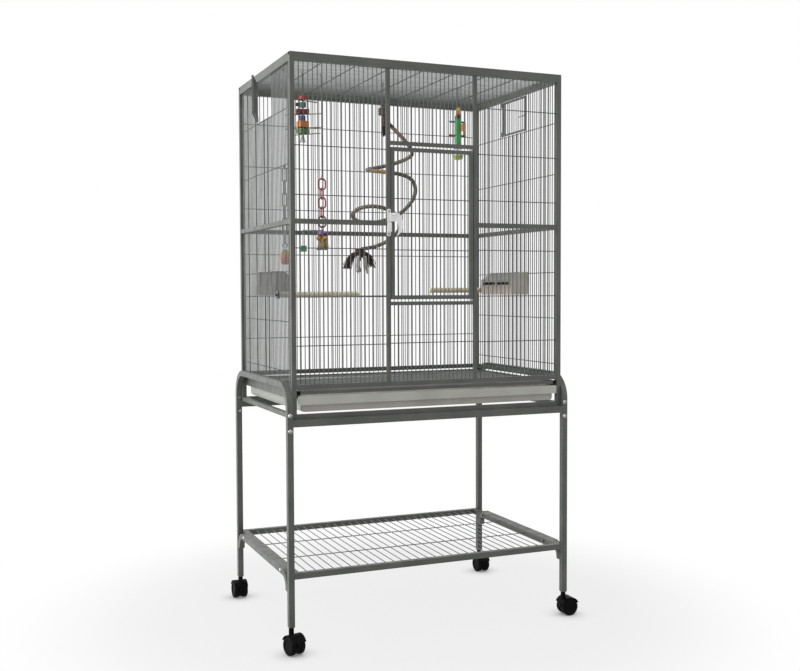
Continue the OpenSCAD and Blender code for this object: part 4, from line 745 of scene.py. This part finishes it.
def white_for_eye(tree, plain, bright):
    """Shader that shows bright to the camera and to clear or mirrored rays, and plain to all others."""
    path = add(tree, "ShaderNodeLightPath")
    seen = path.outputs["Is Camera Ray"]
    for name in ("Is Glossy Ray", "Is Transmission Ray"):
        either = add(tree, "ShaderNodeMath", operation="MAXIMUM")
        tree.links.new(seen, either.inputs[0])
        tree.links.new(path.outputs[name], either.inputs[1])
        seen = either.outputs[0]
    mix = add(tree, "ShaderNodeMixShader")
    for source, target in zip((seen, plain, bright), mix.inputs):
        tree.links.new(source, target)
    return mix.outputs[0]


floor_material = bpy.data.materials.new("ground")
floor_material.use_nodes = True
floor_tree = floor_material.node_tree
floor_tree.nodes.clear()
floor_plain = add(floor_tree, "ShaderNodeBsdfDiffuse")
floor_plain.inputs["Color"].default_value = FLOOR
floor_glow = add(floor_tree, "ShaderNodeEmission")
floor_half = add(floor_tree, "ShaderNodeMixShader")
floor_place = add(floor_tree, "ShaderNodeTexCoord")
floor_reach = add(floor_tree, "ShaderNodeVectorMath", operation="LENGTH")
# Painted contact shadow: ambient occlusion darkens the floor's glow near the wheels
floor_contact = add(floor_tree, "ShaderNodeAmbientOcclusion")
floor_contact.inputs["Distance"].default_value = CONTACT_REACH
floor_fade = add(floor_tree, "ShaderNodeMapRange", interpolation_type="SMOOTHSTEP")
floor_contact_shadow = add(floor_tree, "ShaderNodeMapRange")
floor_bright = add(floor_tree, "ShaderNodeMapRange")
floor_share = add(floor_tree, "ShaderNodeMapRange")
for node, ends in (
        (floor_fade, (NEAR, FAR, 0.0, 1.0)), (floor_contact_shadow, (*CONTACT_SPAN, CONTACT_SHADOW_DARK, 1.0)),
        (floor_bright, (0.0, 1.0, NEAR_GLOW, 1.0)), (floor_share, (0.0, 1.0, GLOW_SHARE, 1.0))):
    for socket, value in zip(RANGE_SOCKETS, ends):
        node.inputs[socket].default_value = value
floor_level = add(floor_tree, "ShaderNodeMath", operation="MULTIPLY")
for source, target in (
        (floor_place.outputs["Object"], floor_reach.inputs[0]),
        (floor_reach.outputs["Value"], floor_fade.inputs["Value"]),
        (floor_contact.outputs["AO"], floor_contact_shadow.inputs["Value"]),
        (floor_fade.outputs["Result"], floor_bright.inputs["Value"]),
        (floor_fade.outputs["Result"], floor_share.inputs["Value"]),
        (floor_share.outputs["Result"], floor_half.inputs[0]),
        (floor_bright.outputs["Result"], floor_level.inputs[0]),
        (floor_contact_shadow.outputs["Result"], floor_level.inputs[1]),
        (floor_level.outputs[0], floor_glow.inputs["Strength"]),
        (floor_plain.outputs[0], floor_half.inputs[1]),
        (floor_glow.outputs[0], floor_half.inputs[2])):
    floor_tree.links.new(source, target)
floor_out = add(floor_tree, "ShaderNodeOutputMaterial")
floor_tree.links.new(
    white_for_eye(floor_tree, floor_plain.outputs[0], floor_half.outputs[0]), floor_out.inputs["Surface"])
ground_mesh.materials.append(floor_material)


# Light

SKY_LIGHT = 0.45
world = bpy.data.worlds.new("studio")
scene.world = world
world.use_nodes = True
world_tree = world.node_tree
world_tree.nodes.clear()
sky_plain = add(world_tree, "ShaderNodeBackground")
sky_plain.inputs["Strength"].default_value = SKY_LIGHT
sky_white = add(world_tree, "ShaderNodeBackground")
for background in (sky_plain, sky_white):
    background.inputs["Color"].default_value = WHITE
world_out = add(world_tree, "ShaderNodeOutputWorld")
world_tree.links.new(
    white_for_eye(world_tree, sky_plain.outputs[0], sky_white.outputs[0]), world_out.inputs["Surface"])

LIT_POINT = Vector((0, 0, 0.8))
LAMPS = [  # name, place, size in metres and power in watts
    ("top_light", (-0.8, -0.2, 3.6), 3.0, 70),
    ("left_light", (-3.3, 0.2, 1.4), 2.4, 120),
    ("right_light", (3.0, -1.6, 1.8), 2.2, 18),
]
for name, place, size, power in LAMPS:
    lamp = bpy.data.lights.new(name, "AREA")
    lamp.shape, lamp.size, lamp.energy = "SQUARE", size, power
    holder = bpy.data.objects.new(name, lamp)
    scene.collection.objects.link(holder)
    holder.location = place
    holder.rotation_euler = (LIT_POINT - Vector(place)).to_track_quat("-Z", "Y").to_euler()

scene.view_settings.view_transform = "Standard"


# Camera, worked out from the cage's corners and the stand's legs in the photo

CAMERA_PLACE = Vector((-1.2013, -2.8866, 0.9507))
CAMERA_YAW, CAMERA_PITCH, CAMERA_ROLL = 0.39786, -0.04215, -0.003645
IMAGE_W, FOCAL_PX, SENSOR = 800, 1045.66, 36.0
ahead = Vector((
    math.sin(CAMERA_YAW) * math.cos(CAMERA_PITCH), math.cos(CAMERA_YAW) * math.cos(CAMERA_PITCH),
    math.sin(CAMERA_PITCH)))
level = Vector((math.cos(CAMERA_YAW), -math.sin(CAMERA_YAW), 0))
rise = level.cross(ahead)
right = level * math.cos(CAMERA_ROLL) + rise * math.sin(CAMERA_ROLL)
above = rise * math.cos(CAMERA_ROLL) - level * math.sin(CAMERA_ROLL)
lens = bpy.data.cameras.new("camera")
lens.sensor_width = SENSOR
lens.lens = FOCAL_PX / IMAGE_W * SENSOR
eye = bpy.data.objects.new("camera", lens)
scene.collection.objects.link(eye)
turn = Matrix((right, above, -ahead)).transposed()
eye.matrix_world = Matrix.Translation(CAMERA_PLACE) @ turn.to_4x4()
scene.camera = eye
